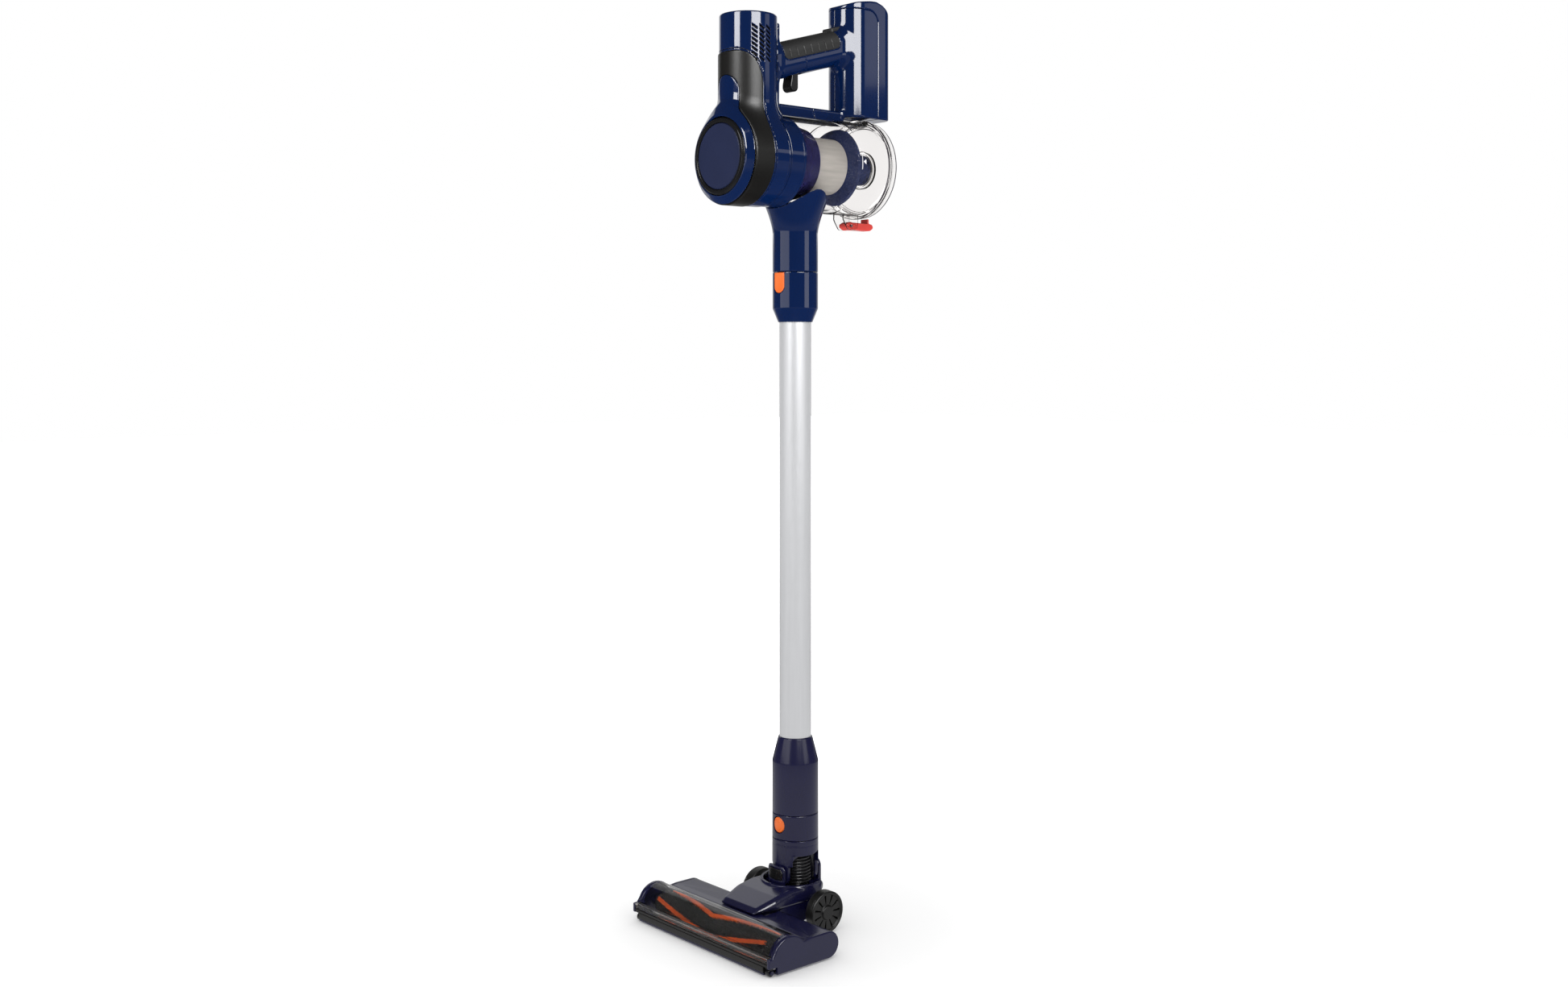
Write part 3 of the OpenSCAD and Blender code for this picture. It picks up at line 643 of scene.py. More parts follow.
def grip_axes(p):
    q = p - GRIP_START
    along = q[:, 1] * math.cos(GRIP_SLOPE) + q[:, 2] * math.sin(GRIP_SLOPE)
    up = -q[:, 1] * math.sin(GRIP_SLOPE) + q[:, 2] * math.cos(GRIP_SLOPE)
    return along, up


def grip_flat(p):
    _, up = grip_axes(p)
    return flat_box(p[:, 0], up, (-GRIP_W / 2, -GRIP_H / 2), (GRIP_W / 2, GRIP_H / 2), 15.0)


def pad_region(p):
    along, up = grip_axes(p)
    return flat_box(along, up, (0.0, -1.0), (93.0, 60.0), 7.0)


def handle_field(side):
    def field(p):
        along, _ = grip_axes(p)
        grip_surface = grip_flat(p)
        plate = block(p, (-16, -49, 957.6), (16, -37, 1062), 3.0)
        plate = smooth_max(plate, np.abs(p[:, 0]) - 14 - 2 * np.clip((p[:, 2] - 965) / 50, 0, 1), 2.0)
        grip = extruded(grip_surface, along, -14, 106, 1.0)
        column = extruded(battery_plan(p, 0), p[:, 2], BATTERY_BOTTOM, BATTERY_TOP, 1.5)
        rail = block(p, (-11, -44, 954), (11, 70, 968.8), 2.5)
        d = smooth_min(smooth_min(smooth_min(plate, grip, 9.0), column, 10.0), rail, 5.0)
        pad_groove = np.maximum(np.abs(pad_region(p)) - 0.3, -(grip_surface + 0.9))
        trigger_seam = both(np.abs(along - 32) - 0.25, -(grip_surface + 0.8), -pad_region(p))
        d = keep(d, case_seam(p) + 0.2, 0.12 - side * p[:, 0], k=0.6)
        return carve(d, extruded(battery_plan(p, 3.1), p[:, 2], 965, 1200, 0.5),
                     np.hypot(p[:, 0], p[:, 1] - COLUMN[1]) - COLUMN_R - 0.4,
                     np.maximum(barrel_radius(p) - BIN_R - 1.3, p[:, 1] - 60),
                     block(p, (-8.7, -18.5, 975), (8.7, 4.5, 1030), 2.0), pad_groove, trigger_seam, k=0.5)
    return field


def pad_field(p):
    along, up = grip_axes(p)
    surface = grip_flat(p)
    pad = keep(surface - 0.6, -(surface + 1.8), pad_region(p) + 0.3, 0.3 - battery_plan(p, 0), k=0.9)
    tab = flat_box(along, up, (91.0, GRIP_H / 2 - 2), (108.0, GRIP_H / 2 + 3.6), 2.4)
    tab = extruded(tab, p[:, 0], -9, 9, 1.8)
    return smooth_min(pad, np.maximum(tab, 0.3 - battery_plan(p, 0)), 1.5)


def tick_field(p):
    """Seven upright ribs on each side of the pad."""
    along, up = grip_axes(p)
    start, pitch = 9.5, 11.6
    row = np.clip(np.round((along - start) / pitch), 0, 6)
    rib = np.hypot(along - start - pitch * row, np.maximum(np.abs(up - 6.5) - 4.6, 0)) - 0.75
    return both(rib, np.abs(grip_flat(p) - 0.8) - 0.6, 5 - np.abs(p[:, 0]))


def trigger_field(p):
    z = p[:, 2]
    side = flat_box(p[:, 1], z, (-14, 985.6), (-2, TRIGGER_PIN[2] + 5), 5.9)
    hollow = np.hypot(p[:, 1] + 30.5, z - 1004) - 18.0
    side = carve(side, hollow, k=2.0)
    return extruded(side, p[:, 0], -8, 8, 1.6)


def battery_field(p):
    z = p[:, 2]
    outer = extruded(battery_plan(p, 0), z, BATTERY_BOTTOM, BATTERY_TOP + 20, 1.8)
    top = BATTERY_TOP
    dome = profile([(40, 900), (40, top - 14), (62, top - 10.4), (67, top - 7.4, 10), (78, top - 3.8, 30),
                    (99, top - 0.6, 40), (109, top - 0.1, 14), (119, top - 3.1, 16), (127, top - 8.2, 10),
                    (133.4, top - 12.8, 7), (136.5, top - 19, 5), (138, 900)], p[:, 1], z)
    outer = keep(smooth_max(outer, dome, 2.2), 0.2 - case_seam(p), k=0.7)
    inner = extruded(battery_plan(p, 3.5), z, BATTERY_BOTTOM + 4, BATTERY_SEAM[1] + 1, 1.0)
    d = np.minimum(outer, keep(inner, p[:, 1] - BATTERY_BACK + 14, dome + 3))
    hole = block(p, (-9.3, BATTERY_BACK - 11, 1069.7), (9.3, BATTERY_BACK + 9, 1082.3), 1.0)
    return carve(d, hole, rod(p, 1, (0, 985), 5.05, BATTERY_BACK - 12, BATTERY_BACK + 9), k=0.6)


def make_handle():
    for name, side, x0, x1 in (("left", -1, -29, 0.5), ("right", 1, -0.5, 29)):
        moulded(f"handle_shell_{name}", handle_field(side), (x0, -48, 956), (x1, 113, 1098), 0.9, NAVY,
                f"handle_{name}")
    moulded("grip_cover", pad_field, (-19, -40, 1004), (19, 72, 1078), 0.52, RUBBER, "grip_pad")
    moulded("grip_ticks", tick_field, (-20, -24, 1012), (20, 60, 1052), 0.5, TICK)
    moulded("trigger_shell", trigger_field, (-9, -15, 984), (9, -1, 1035), 0.6, DARK, "trigger", "trigger")
    moulded("battery_shell", battery_field, (-29, 63, 961), (29, 138, 1107), 0.95, NAVY, "battery_case",
            "battery")


# ---------------------------------------------------------------- dust bin, door and cyclone

DOOR_HINGE = np.array([108.5, 957.0])
LATCH_PIVOT = np.array([84.0, 831.0])


def pin_bore(p, centre):
    return rod(p, 0, centre, 1.6, -20, 20)


def bin_details(p):
    """The block under the rail, the hinge knuckles and the latch bracket, all outside the bin's wall."""
    side, y, z = mirrored(p).T
    top_block = block(p, (-12, 49.5, 945), (12, 81, 957.4), 2.0)
    knuckle = rod(p, 0, DOOR_HINGE, 3.3, -14, 14, 0.6)
    foot = block(mirrored(p), (8.1, 97.5, 950), (13.9, 108.4, 957.5), 0.6)
    foot = np.maximum(foot, np.minimum(y - 103.8, 952 - z))
    knuckle = np.maximum(np.minimum(knuckle, foot), 8.0 - side)
    plate = profile([(70, 848), (70, 838, 5), (78, 826.2, 4), (92, 826.2, 3), (95, 834, 3), (95, 852)], y, z)
    bracket = extruded(plate, side, 7.1, 9.5, 0.7)
    d = either(top_block, knuckle, bracket)
    wall = np.where(y < 50, BIN_R, np.where(y < 96, BIN_R + 3, 61.0)) - 0.6
    return carve(both(d, wall - barrel_radius(p)), pin_bore(p, DOOR_HINGE), pin_bore(p, LATCH_PIVOT), k=0.3)


def latch_field(p):
    y, z = p[:, 1], p[:, 2]
    lever = profile([(77, 829, 2), (84, 826.3, 3), (118, 826.3, 3), (124, 830, 2.6), (121.6, 834.4, 2),
                     (116.2, 835.4, 1.5), (116.0, 841, 1), (113.8, 841, 1), (113.6, 835.4, 1), (84, 835.4, 3),
                     (77, 833.2, 2)], y, z)
    hub = np.hypot(y - LATCH_PIVOT[0], z - LATCH_PIVOT[1]) - 4.6
    d = extruded(smooth_min(lever, hub, 2.0), p[:, 0], -6.6, 6.6, 1.1)
    ribs = np.abs(y - 106 - 3.2 * np.clip(np.round((y - 106) / 3.2), 0, 3)) - 0.45
    thumb = both(ribs, z - 827.1, np.abs(p[:, 0]) - 4.6)
    return carve(d, pin_bore(p, LATCH_PIVOT), thumb, k=0.4)


def door_knuckle_field(p):
    root = block(p, (-7.5, 105.5, 953), (7.5, 112, 957.5), 0.8)
    barrel = rod(p, 0, DOOR_HINGE, 3.3, -7.5, 7.5, 0.6)
    return carve(smooth_min(barrel, root, 1.0), pin_bore(p, DOOR_HINGE), k=0.3)


def make_bin():
    lathed("bin_wall", "Y", [
        (51.3, -42, 0.4), (51.3, -29.6), (BIN_R, -29.6, 0.5), (BIN_R, 50, 2), (57, 55, 2), (57, 94, 1.4),
        (59.6, 96, 0.8), (61, 96.4, 0.7), (61, 98.8, 0.5), (60.2, 99.4, 0.4), (60.2, 100.2, 0.4),
        (61, 100.8, 0.5), (61, 104, 0.7), (54.5, 104, 0.5), (54.5, 57, 2), (51.5, 52, 2), (51.5, -26, 1),
        (48.8, -28, 1), (48.8, -42, 0.4)], CLEAR_WALL, "dust_bin", turns=200)
    moulded("bin_mouldings", bin_details, (-15, 48, 822), (15, 113, 962), 0.7, CLEAR)
    lathed("door_shell", "Y", [
        (0, 113.4), (21.6, 113.4, 1.2), (23, 112.4, 0.8), (23, 107, 1), (50.4, 107, 0.6), (51.2, 108.2, 0.5),
        (52.6, 108.2, 0.5), (53.4, 107, 0.6), (55.5, 107, 1.0), (55.5, 112.2, 0.9), (59.2, 112.2, 1.2),
        (59.2, 104.4, 0.6), (57, 104.4, 0.3), (57, 105.6), (53.5, 105.6), (53.5, 104.4, 0.3),
        (20.5, 104.4, 0.8), (20.5, 111.2, 0.6), (0, 111.2)], CLEAR, "bin_door", "bin_door", turns=200,
        closed=False)
    moulded("door_knuckle", door_knuckle_field, (-8, 104, 952), (8, 113, 961), 0.6, CLEAR, "", "bin_door")
    # Thin grey rings inside the clear rims of the door and flange: painted shade, standing in for the dark
    # edges that light bending through clear plastic shows.
    for name, body, (r0, y0), (r1, y1) in (
            ("door", "bin_door", (58.7, 110.4), (59.3, 111.5)),
            ("door_inner", "bin_door", (56.8, 105.2), (57.3, 105.7)),
            ("flange", "stick", (60.4, 96.6), (61.1, 97.6))):
        lathed(f"rim_shade_line_{name}", "Y", [(r0, y0), (r1, y0), (r1, y1), (r0, y1)], EDGE_SHADE, "", body, turns=160)
    moulded("latch_lever", latch_field, (-7, 76, 825), (7, 125, 842), 0.6, RED, "door_latch", "door_latch")
    lathed("filter_mesh", "Y", [(32.9, 3.2), (33.7, 3.2), (33.7, 53.8), (32.9, 53.8)], MESH, "mesh_filter")
    lathed("mesh_rings", "Y", [(33.6, 3.2), (34.8, 3.2, 0.4), (34.8, 6.0, 0.4), (33.6, 6.0)], BASE)
    lathed("cyclone_floor", "Y", [
        (30, -34), (48.2, -34, 0.4), (48.2, -31.2, 0.4), (45.4, -31, 0.5), (45, -14, 3), (42, 3, 1.6),
        (30, 3), (30, 1), (40, 0), (42.6, -15), (42.6, -31), (30, -31)], BASE, "cyclone_base")
    lathed("skirt_shell", "Y", [
        (28, 53.8), (34.2, 53.6, 0.5), (45.4, 60.6, 2), (46.8, 64.4, 0.7), (45.2, 64.4, 0.5), (43.8, 62.4, 2),
        (33.2, 56), (28, 56)], SLATE, "shroud_skirt")
    lathed("cup_shell", "Y", [
        (17, 57), (29.8, 57, 0.6), (29.8, 59, 0.8), (20.2, 60.5, 2), (19.8, 101, 2), (18.6, 104, 2),
        (18.6, 110, 1.5), (0, 110), (0, 108), (17, 108)], SLATE, "inner_cup", closed=False)
    make_fill_mark()


def make_fill_mark():
    """A white line round part of the bin with a small triangle beside it, just off the clear wall."""
    r0, r1, station = 57.05, 57.35, 56.8
    left, right = station - 0.45, station + 0.45
    outlines = [[(left, 12.0), (right, 12.0), (right, -7.0), (left, -7.0)],
                [(station + 1.4, 2.5), (station + 5.8, -0.5), (station + 5.8, 5.5)]]
    verts, faces = [], []
    for outline in outlines:
        dense = []
        for a, b in zip(outline, outline[1:] + outline[:1]):
            dense += [(a[0] + (b[0] - a[0]) * t / 12, a[1] + (b[1] - a[1]) * t / 12) for t in range(12)]
        n, first = len(dense), len(verts)
        for r in (r0, r1):
            for y, deg in dense:
                a = math.radians(deg)
                verts.append((r * math.cos(a), y, BARREL_Z + r * math.sin(a)))
        faces += [[first + j, first + (j + 1) % n, first + n + (j + 1) % n, first + n + j] for j in range(n)]
        faces += [[first + n + j for j in range(n)], [first + j for j in range(n)][::-1]]
    tidy_normals(make_object("fill_mark", verts, faces, PRINT))


# ---------------------------------------------------------------- neck and wand

NECK_BOTTOM = 771.4
NECK_FLARE = 818.0


def radial(p):
    return np.hypot(p[:, 0], p[:, 1])


def neck_field(p):
    z = p[:, 2]
    rise = np.maximum(z - NECK_FLARE, 0)
    outer = SOCKET_R - 0.5 + 0.0585 * rise ** 1.45
    slope = 0.085 * rise ** 0.45
    skin = (radial(p) - outer) / np.sqrt(1 + slope ** 2)
    d = smooth_max(skin, z - 873, 9.0)
    d = keep(d, NECK_BOTTOM - z, k=0.8)
    d = carve(d, np.where(z > 800, skin + 3.0, radial(p) - 17.6), k=0.4)
    collar = rod(p, 1, (0, BARREL_Z), BIN_R + 1.0, -60, -29.4)
    barrel = rod(p, 1, (0, BARREL_Z), BIN_R + 0.35, -90, 90)
    return carve(d, collar, barrel, k=0.5)


def button_outline(p, half):
    """A tongue with a round lower end."""
    x, z = p[:, 0], p[:, 2]
    return np.where(z > 755, np.abs(x), np.hypot(x, z - 755)) - half


def socket_field(p):
    r, z = radial(p), p[:, 2]
    body = profile([(19.05, 712), (20.5, 712, 0.8), (27, 728, 3), (27, 771, 0.5), (20.9, 771), (20.9, 734.4),
                    (19.05, 734.4)], r, z)
    window = both(button_outline(p, 9.1), p[:, 1] + 10, 21.5 - r)
    return carve(body, window, k=0.6)


def wand_button_field(p):
    outline = smooth_max(button_outline(p, 8.7), p[:, 2] - 770.6, 0.8)
    r = radial(p)
    dish = np.linalg.norm((p - np.array([0, -56.0, 757.0])) / np.array([1, 1, 1.15]), axis=1) - 31.0
    d = keep(np.maximum(outline, p[:, 1] + 10), r - 27.0, 23.9 - r, k=1.2)
    return carve(d, dish, k=1.0)


def foot_collar_field(p):
    r, z = radial(p), p[:, 2]
    body = profile([(20.8, 99.7), (27.5, 99.7, 0.5), (27.5, 128.8, 0.5), (20.8, 128.8)], r, z)
    hole = np.maximum(np.hypot(p[:, 0], z - 117) - 9.7, p[:, 1] + 10)
    return carve(body, hole, k=0.5)


def foot_button_field(p):
    r = radial(p)
    disc = np.hypot(p[:, 0], p[:, 2] - 117)
    face = 27.9 - 0.012 * disc ** 2
    d = keep(np.maximum(disc - 9.15, p[:, 1] + 10), r - face, 24.3 - r, k=1.3)
    return carve(d, np.maximum(np.abs(disc - 6.4) - 0.25, face - 0.35 - r), k=0.3)


def make_wand():
    moulded("neck_shell", neck_field, (-48, -48, NECK_BOTTOM), (48, 48, 874), 0.85, NAVY, "inlet_neck")
    lathed("neck_spigot", "Z", [(17.6, 735.2), (20.8, 735.2, 0.6), (20.8, 773), (17.6, 773)], BLACK, turns=96)
    moulded("socket_shell", socket_field, (-28, -28, 711), (28, 28, 772), 0.8, NAVY, "wand_socket")
    moulded("wand_button_cap", wand_button_field, (-9, -28, 745), (9, -20, 771), 0.5, ORANGE, "wand_button",
            "wand_button")
    bore = TUBE_R - 1.4
    lathed("tube_shell", "Z", [(bore, 170), (TUBE_R, 170, 0.4), (TUBE_R, 734, 0.4), (bore, 734)], ALUMINIUM,
           "wand_tube")
    lathed("foot_socket_shell", "Z", [
        (17.6, 104.2), (20.5, 104.2, 0.4), (20.5, 129.3), (SOCKET_R, 129.3, 0.5), (SOCKET_R, 190, 6),
        (20.4, 218.2, 0.8), (19.5, 219, 0.4), (19.05, 219), (19.05, 169.8), (17.6, 169.8)], HEAD_NAVY,
        "foot_socket")
    moulded("collar_ring", foot_collar_field, (-28, -28, 99), (28, 28, 129), 0.8, HEAD_NAVY, "foot_collar")
    moulded("foot_button_cap", foot_button_field, (-10, -28.5, 107), (10, -20, 127), 0.5, ORANGE,
            "foot_button", "foot_button")


# ---------------------------------------------------------------- elbow, hose and yoke

def elbow_field(p):
    x, y, z = p.T
    r = radial(p)
    tube = profile([(22.5, 40), (SOCKET_R, 40), (SOCKET_R, 99.3, 0.5), (20.8, 99.3), (20.8, 97), (17.6, 97),
                    (17.6, 90), (22.5, 90, 1)], r, z)
    window = profile([(-20.0, 30), (19.4, 30), (19.4, 84.4, 4), (-20.0, 78.0, 4)], y, z)
    half = np.where(y < 0, 19.0, 23.0)
    eye = both(np.hypot(x, z - ROLL_Z) - 14, -40 - y)
    leg = smooth_min(both(np.abs(x) - half, 69 - z), eye, 6.0)
    leg = either(leg, both(np.abs(x) - 14, ROLL_Z - z))
    d = smooth_max(tube, np.where(z > 82, -5.0, leg), 0.8)
    ring = np.maximum(np.abs(r - SOCKET_R) - 0.35, np.abs(z - 93.2) - 0.35)
    pins = rod(p, 1, (0, ROLL_Z), 3.1, -60, 60)
    return carve(d, window, pins, ring + 0.25, k=0.7)


def both_sides(right, x, z):
    """A profile from its right half, from the bottom up."""
    left = [(-point[0], *point[1:]) for point in reversed(right)]
    return profile(right + left, x, z)


def yoke_field(p):
    x, y, z = p.T
    r = radial(p)
    base = profile([(16.2, 38.2), (33, 38.2, 0.6), (33, 42.8, 1.2), (30, 43.2, 0.4), (16.2, 43.2)], r, z)
    base = keep(base, np.abs(x) - 30.8, k=0.8)
    throat = profile([(16.2, 30.2), (20, 30.2, 0.8), (20, 40), (16.2, 40)], r, z)
    trunnion = np.maximum(rod(p, 0, (0, 36), 9, -31, 31, 0.8), 17 - np.abs(x))
    front = both(r - 33.2, y + 28.4, -40 - y)
    front_flat = both_sides([(15, 40), (15, 66, 2.5), (11.5, 70, 2.0)], x, z)
    front = smooth_max(front, front_flat, 0.9)
    recess = both_sides([(11.6, 53.6, 1), (12.6, 62, 1.5), (9.6, 67.4, 1.5)], x, z)
    front = carve(front, np.maximum(recess, 32.4 - r), k=0.4)
    rear = np.maximum(r - 34.5, 28.4 - y)
    rear = keep(rear, np.minimum(np.hypot(x, z - ROLL_Z) - 10, np.maximum(np.abs(x) - 10, z - ROLL_Z)),
                y - 33.0, 40 - z, k=1.0)
    pins = np.maximum(rod(p, 1, (0, ROLL_Z), 2.95, -33, 33, 0.4), 23.2 - np.abs(y))
    d = smooth_min(smooth_min(base, throat, 1.0), trunnion, 1.2)
    d = smooth_min(smooth_min(d, front, 2.0), rear, 2.0)
    d = np.maximum(d, 16.2 - r + np.where(z < 46, 0, -16.2))
    d = carve(d, np.maximum(rod(p, 0, (0, 36), 4.1, -60, 60), 22.3 - np.abs(x)), k=0.3)
    boss_ring = np.maximum(np.abs(np.hypot(x, z - ROLL_Z) - 6.5) - 0.35, 32.4 - y)
    return np.minimum(carve(d, boss_ring, k=0.3), pins)


def pad_plate_field(p):
    plate = both_sides([(11.2, 54, 1.2), (12.2, 62, 1.6), (9.3, 67, 1.6)], p[:, 0], p[:, 2])
    r = radial(p)
    return keep(plate, r - 33.5, 31.9 - r, p[:, 1] + 10, k=0.8)


def make_hose():
    pitch, first, last = 3.9, 47.5, 88.0
    points = [(13.2, 31.5), (15.4, 31.5, 0.5), (15.4, 46)]
    z = first
    while z + pitch < last:
        points += [(16.0, z), (18.9, z + 0.9, 0.9), (18.9, z + 2.0, 0.9), (16.0, z + 2.9, 0.5)]
        z += pitch
    points += [(15.6, 89.4), (13.2, 89.4)]
    hose = lathed("hose_ribs", "Z", points, HOSE_RUBBER, "hose", None, turns=96)
    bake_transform(hose)


def make_elbow():
    moulded("elbow_shell", elbow_field, (-28, -28, 43), (28, 28, 100), 0.8, HEAD_NAVY, "elbow")
    moulded("yoke_shell", yoke_field, (-34, -34, 26), (34, 34, 71), 0.8, HEAD_NAVY, "yoke", "yoke")
    moulded("yoke_plate", pad_plate_field, (-13, -34.5, 53), (13, -28, 68), 0.5, DARK, "yoke_pad", "yoke")
    make_hose()


# ---------------------------------------------------------------- floor head

DECK_R = 15.0
DECK = (-60.0, 16.5)
CAP_X = HEAD_HI[0]
SOLE = 1.6
FRONT = HEAD_LO[1]


def head_outline(y, z):
    points = [(FRONT, SOLE, 1.5), (FRONT, 20.5, 1.0), (-142.5, 21.0)] + arc(DOME, DOME_R, 165, 40, 14)[1:]
    points += [(-96.2, 29.6, 2.0), (-92.5, 30.6, 2.0), (-84, 31.5)] + arc(DECK, DECK_R, 90, -90, 14)
    return profile(points, y, z)


def end_cap_field(p):
    x, y, z = mirrored(p).T
    cap = both(extruded(head_outline(y, z), x, 115, CAP_X, 1.6), CAP_X - 4.0 - x)
    dome = np.hypot(y - DOME[0], z - DOME[1])
    above = both(21.0 - z, -160 - y)
    rim = keep(dome - DOME_R, DOME_R - 2.2 - dome, 118.6 - x, x - CAP_X + 3, above, k=0.5)
    inner_rim = keep(dome - DOME_R + 0.7, DOME_R - 2.2 - dome, 115.0 - x, x - 119, above, k=0.5)
    boss = both(rod(p, 0, BRUSH[1:], 6.0, -CAP_X + 3, CAP_X - 3, 0.5), 116.2 - x)
    d = either(smooth_min(smooth_min(cap, rim, 0.8), inner_rim, 0.4), boss)
    return carve(d, both(rod(p, 0, BRUSH[1:], 3.1, -200, 200), x - 120.8),
                 block(mirrored(p), (100, -160, -5), (140, -135.5, 10.3), 1.0), k=0.5)


def deck_field(p):
    x, y, z = mirrored(p).T
    shape = profile([(-95.2, 27.6), (-95.2, 28.6, 0.6), (-93, 30.5, 1.5), (-84, 31.2)]
                    + arc(DECK, DECK_R - 0.25, 90, -84, 14) + arc(DECK, DECK_R - 2.4, -84, 90, 14)
                    + [(-93.4, 28.2)], y, z)
    step = both(np.abs(((x - 62) * 18 + (y + 66) * 56) / math.hypot(18, 56)) - 0.3, 30.9 - z, x - 117, 62 - x)
    d = keep(shape, x - CAP_X + 4.3, k=0.5)
    inner = block(mirrored(p), (-37.4, -80, -10), (37.4, 0, 60), 2.0)
    return carve(d, inner, step, k=0.4)


COVER = [(-90, 31.6), (-90, 33.6, 1.0), (-84.5, 37.8, 4), (-58, 46.2, 18), (-38, 49.8, 10), (12, 49.8, 0.5),
         (12, 31.6)]


def cover_field(p):
    x, y, z = mirrored(p).T
    side = profile(COVER, y, z)
    taper = 38.2 - 0.10 * np.maximum(z - 32, 0) - 0.22 * np.maximum(-62 - y, 0)
    d = smooth_max(side, x - taper, 7.0)
    d = np.maximum(d, 31.7 - z)
    ring_r = np.hypot(p[:, 0], y + 5)
    rim = keep(ring_r - 37.5, z - 51.6, 40 - z, y - 11.8, k=1.0)
    d = smooth_min(d, rim, 2.5)
    hollow = smooth_max(profile([(-87.6, 20), (-87.6, 33, 1), (-83, 36, 4), (-57.6, 44, 18), (-38, 47.4, 8),
                                 (13, 47.4), (13, 20)], y, z), x - taper + 2.4, 4.0)
    holes = np.minimum(np.maximum(np.minimum(ring_r - 34.5, np.hypot(p[:, 0], y) - 33.8), 20 - z),
                       np.maximum(x - 31.3, -y))
    return carve(d, hollow, holes, np.maximum(np.abs(ring_r - 36.0) - 0.3, 51.2 - z), k=0.7)


def lip_field(p):
    y, z = p[:, 1], p[:, 2]
    bar = profile([(FRONT + 0.5, 15, 0.4), (FRONT + 0.5, 20.6, 0.8), (-141.8, 20.8), (-140.2, 17),
                   (-140.6, 15)], y, z)
    grooves = np.abs(z - 16.4 - 1.3 * np.clip(np.round((z - 16.4) / 1.3), 0, 2)) - 0.22
    return carve(np.maximum(bar, np.abs(p[:, 0]) - CAP_X + 4.3), np.maximum(grooves, y - FRONT - 1.1), k=0.3)


def strip_field(p):
    x, y, z = mirrored(p).T
    bar = profile([(FRONT + 0.6, 5.0, 1.2), (FRONT + 0.6, 14.6, 0.8), (-142.4, 14.6), (-142.4, 3.8),
                   (-146, 3.8, 1)], y, z)
    groove = np.maximum(np.abs(z - 11.2) - 0.4, y - FRONT - 1.4)
    corner = block(mirrored(p), (113.6, -160, -5), (140, -130, 10.3), 0.8)
    return carve(np.maximum(bar, x - CAP_X + 4.3), groove, corner, k=0.4)


def wheel_field(side):
    def field(p):
        x = side * p[:, 0] - (abs(WHEEL[0]) - 6.5)
        y, z = p[:, 1] - WHEEL[1], p[:, 2] - WHEEL[2]
        r = np.hypot(y, z)
        disc = profile([(3.1, 0.2), (WHEEL_R - 0.2, 0.2, 1.2), (WHEEL_R, 13, 2.4), (WHEEL_R - 3.4, 13, 0.8),
                        (WHEEL_R - 4.4, 11.2, 0.8), (8.6, 11.0, 0.5), (7.9, 12.6, 0.8), (7.4, 13.6, 0.5),
                        (-4, 13.6), (-4, 13.05), (3.1, 13.05)], r, x)
        count = 11
        turn = 2 * math.pi / count
        a = np.arctan2(z, y)
        local = (a - turn * np.round(a / turn)) * r
        wedge = np.abs(local) - 0.35 - 0.075 * (r - 8.6)
        wedge = both(wedge, 9.6 - r, r - WHEEL_R + 4.6, 7.5 - x)
        tread = np.maximum(np.abs(np.abs(x - 6.2) - 3.6) - 0.25, WHEEL_R - 0.45 - r)
        return carve(disc, wedge, tread, k=0.4)
    return field


def make_brush():
    x0, x1 = -99.0, 111.5
    rng = random.Random(11)
    lathed("roller_core", "X", [
        (3, -120.4), (3.1, -112), (7.8, -112, 0.5), (7.8, -100), (13.6, -99.4, 0.6), (13.6, 112, 0.6),
        (3.1, 112), (3, 120.4)], BLACK, "brush_core", "brush", (0, *BRUSH[1:]), 64, False)
    verts, faces = [], []
    rows, around = 150, 96
    for row in range(rows):
        for k in range(around):
            x = x0 + (x1 - x0) * (row + rng.random()) / rows
            a = 2 * math.pi * (k + rng.random()) / around
            add_tuft(verts, faces, x, a, 13.3, 15.6 + 1.0 * rng.random(), 0.42, rng)
    make_object("brush_fluff", verts, faces, FLUFF, "", "brush")
    verts, faces = [], []
    half_len, twist = 97.0, math.radians(70)
    for start in range(4):
        for side in (-1, 1):
            steps = 150
            for s in range(steps):
                for lane in range(5):
                    t = (s + rng.random()) / steps
                    a = math.radians(33 + 90 * start) - twist * t + 0.052 * (lane - 2)
                    a += 0.03 * (rng.random() - 0.5)
                    x = side * (0.4 + half_len * t)
                    add_tuft(verts, faces, x, a, 13.4, 17.0 + 0.4 * rng.random(), 0.62, rng)
    make_object("brush_tufts", verts, faces, TUFT, "brush_strips", "brush")


def add_tuft(verts, faces, x, angle, r0, r1, width, rng):
    """A small pointed lock of fibres, as a four-sided spike."""
    c, s = math.cos(angle), math.sin(angle)
    lean_x, lean_a = 0.5 * (rng.random() - 0.5), 0.05 * (rng.random() - 0.5)
    first = len(verts)
    for dx, da in ((-width, 0), (0, -width), (width, 0), (0, width)):
        verts.append((x + dx, BRUSH[1] + r0 * c - da * s, BRUSH[2] + r0 * s + da * c))
    c, s = math.cos(angle + lean_a), math.sin(angle + lean_a)
    tip = width * 0.35
    for dx, da in ((-tip, 0), (0, -tip), (tip, 0), (0, tip)):
        verts.append((x + lean_x + dx, BRUSH[1] + r1 * c - da * s, BRUSH[2] + r1 * s + da * c))
    for j in range(4):
        k = (j + 1) % 4
        faces.append([first + j, first + k, first + 4 + k, first + 4 + j])
    faces.append([first + 4, first + 5, first + 6, first + 7])
    faces.append([first + 3, first + 2, first + 1, first])


def make_window():
    outer = arc(DOME, DOME_R - 0.15, 166, 39, 40)
    inner = arc(DOME, DOME_R - 2.0, 39, 166, 40)
    drawn_out("window_shell", outer + inner, -CAP_X + 6.6, CAP_X - 6.6, WINDOW, "brush_window", "head")


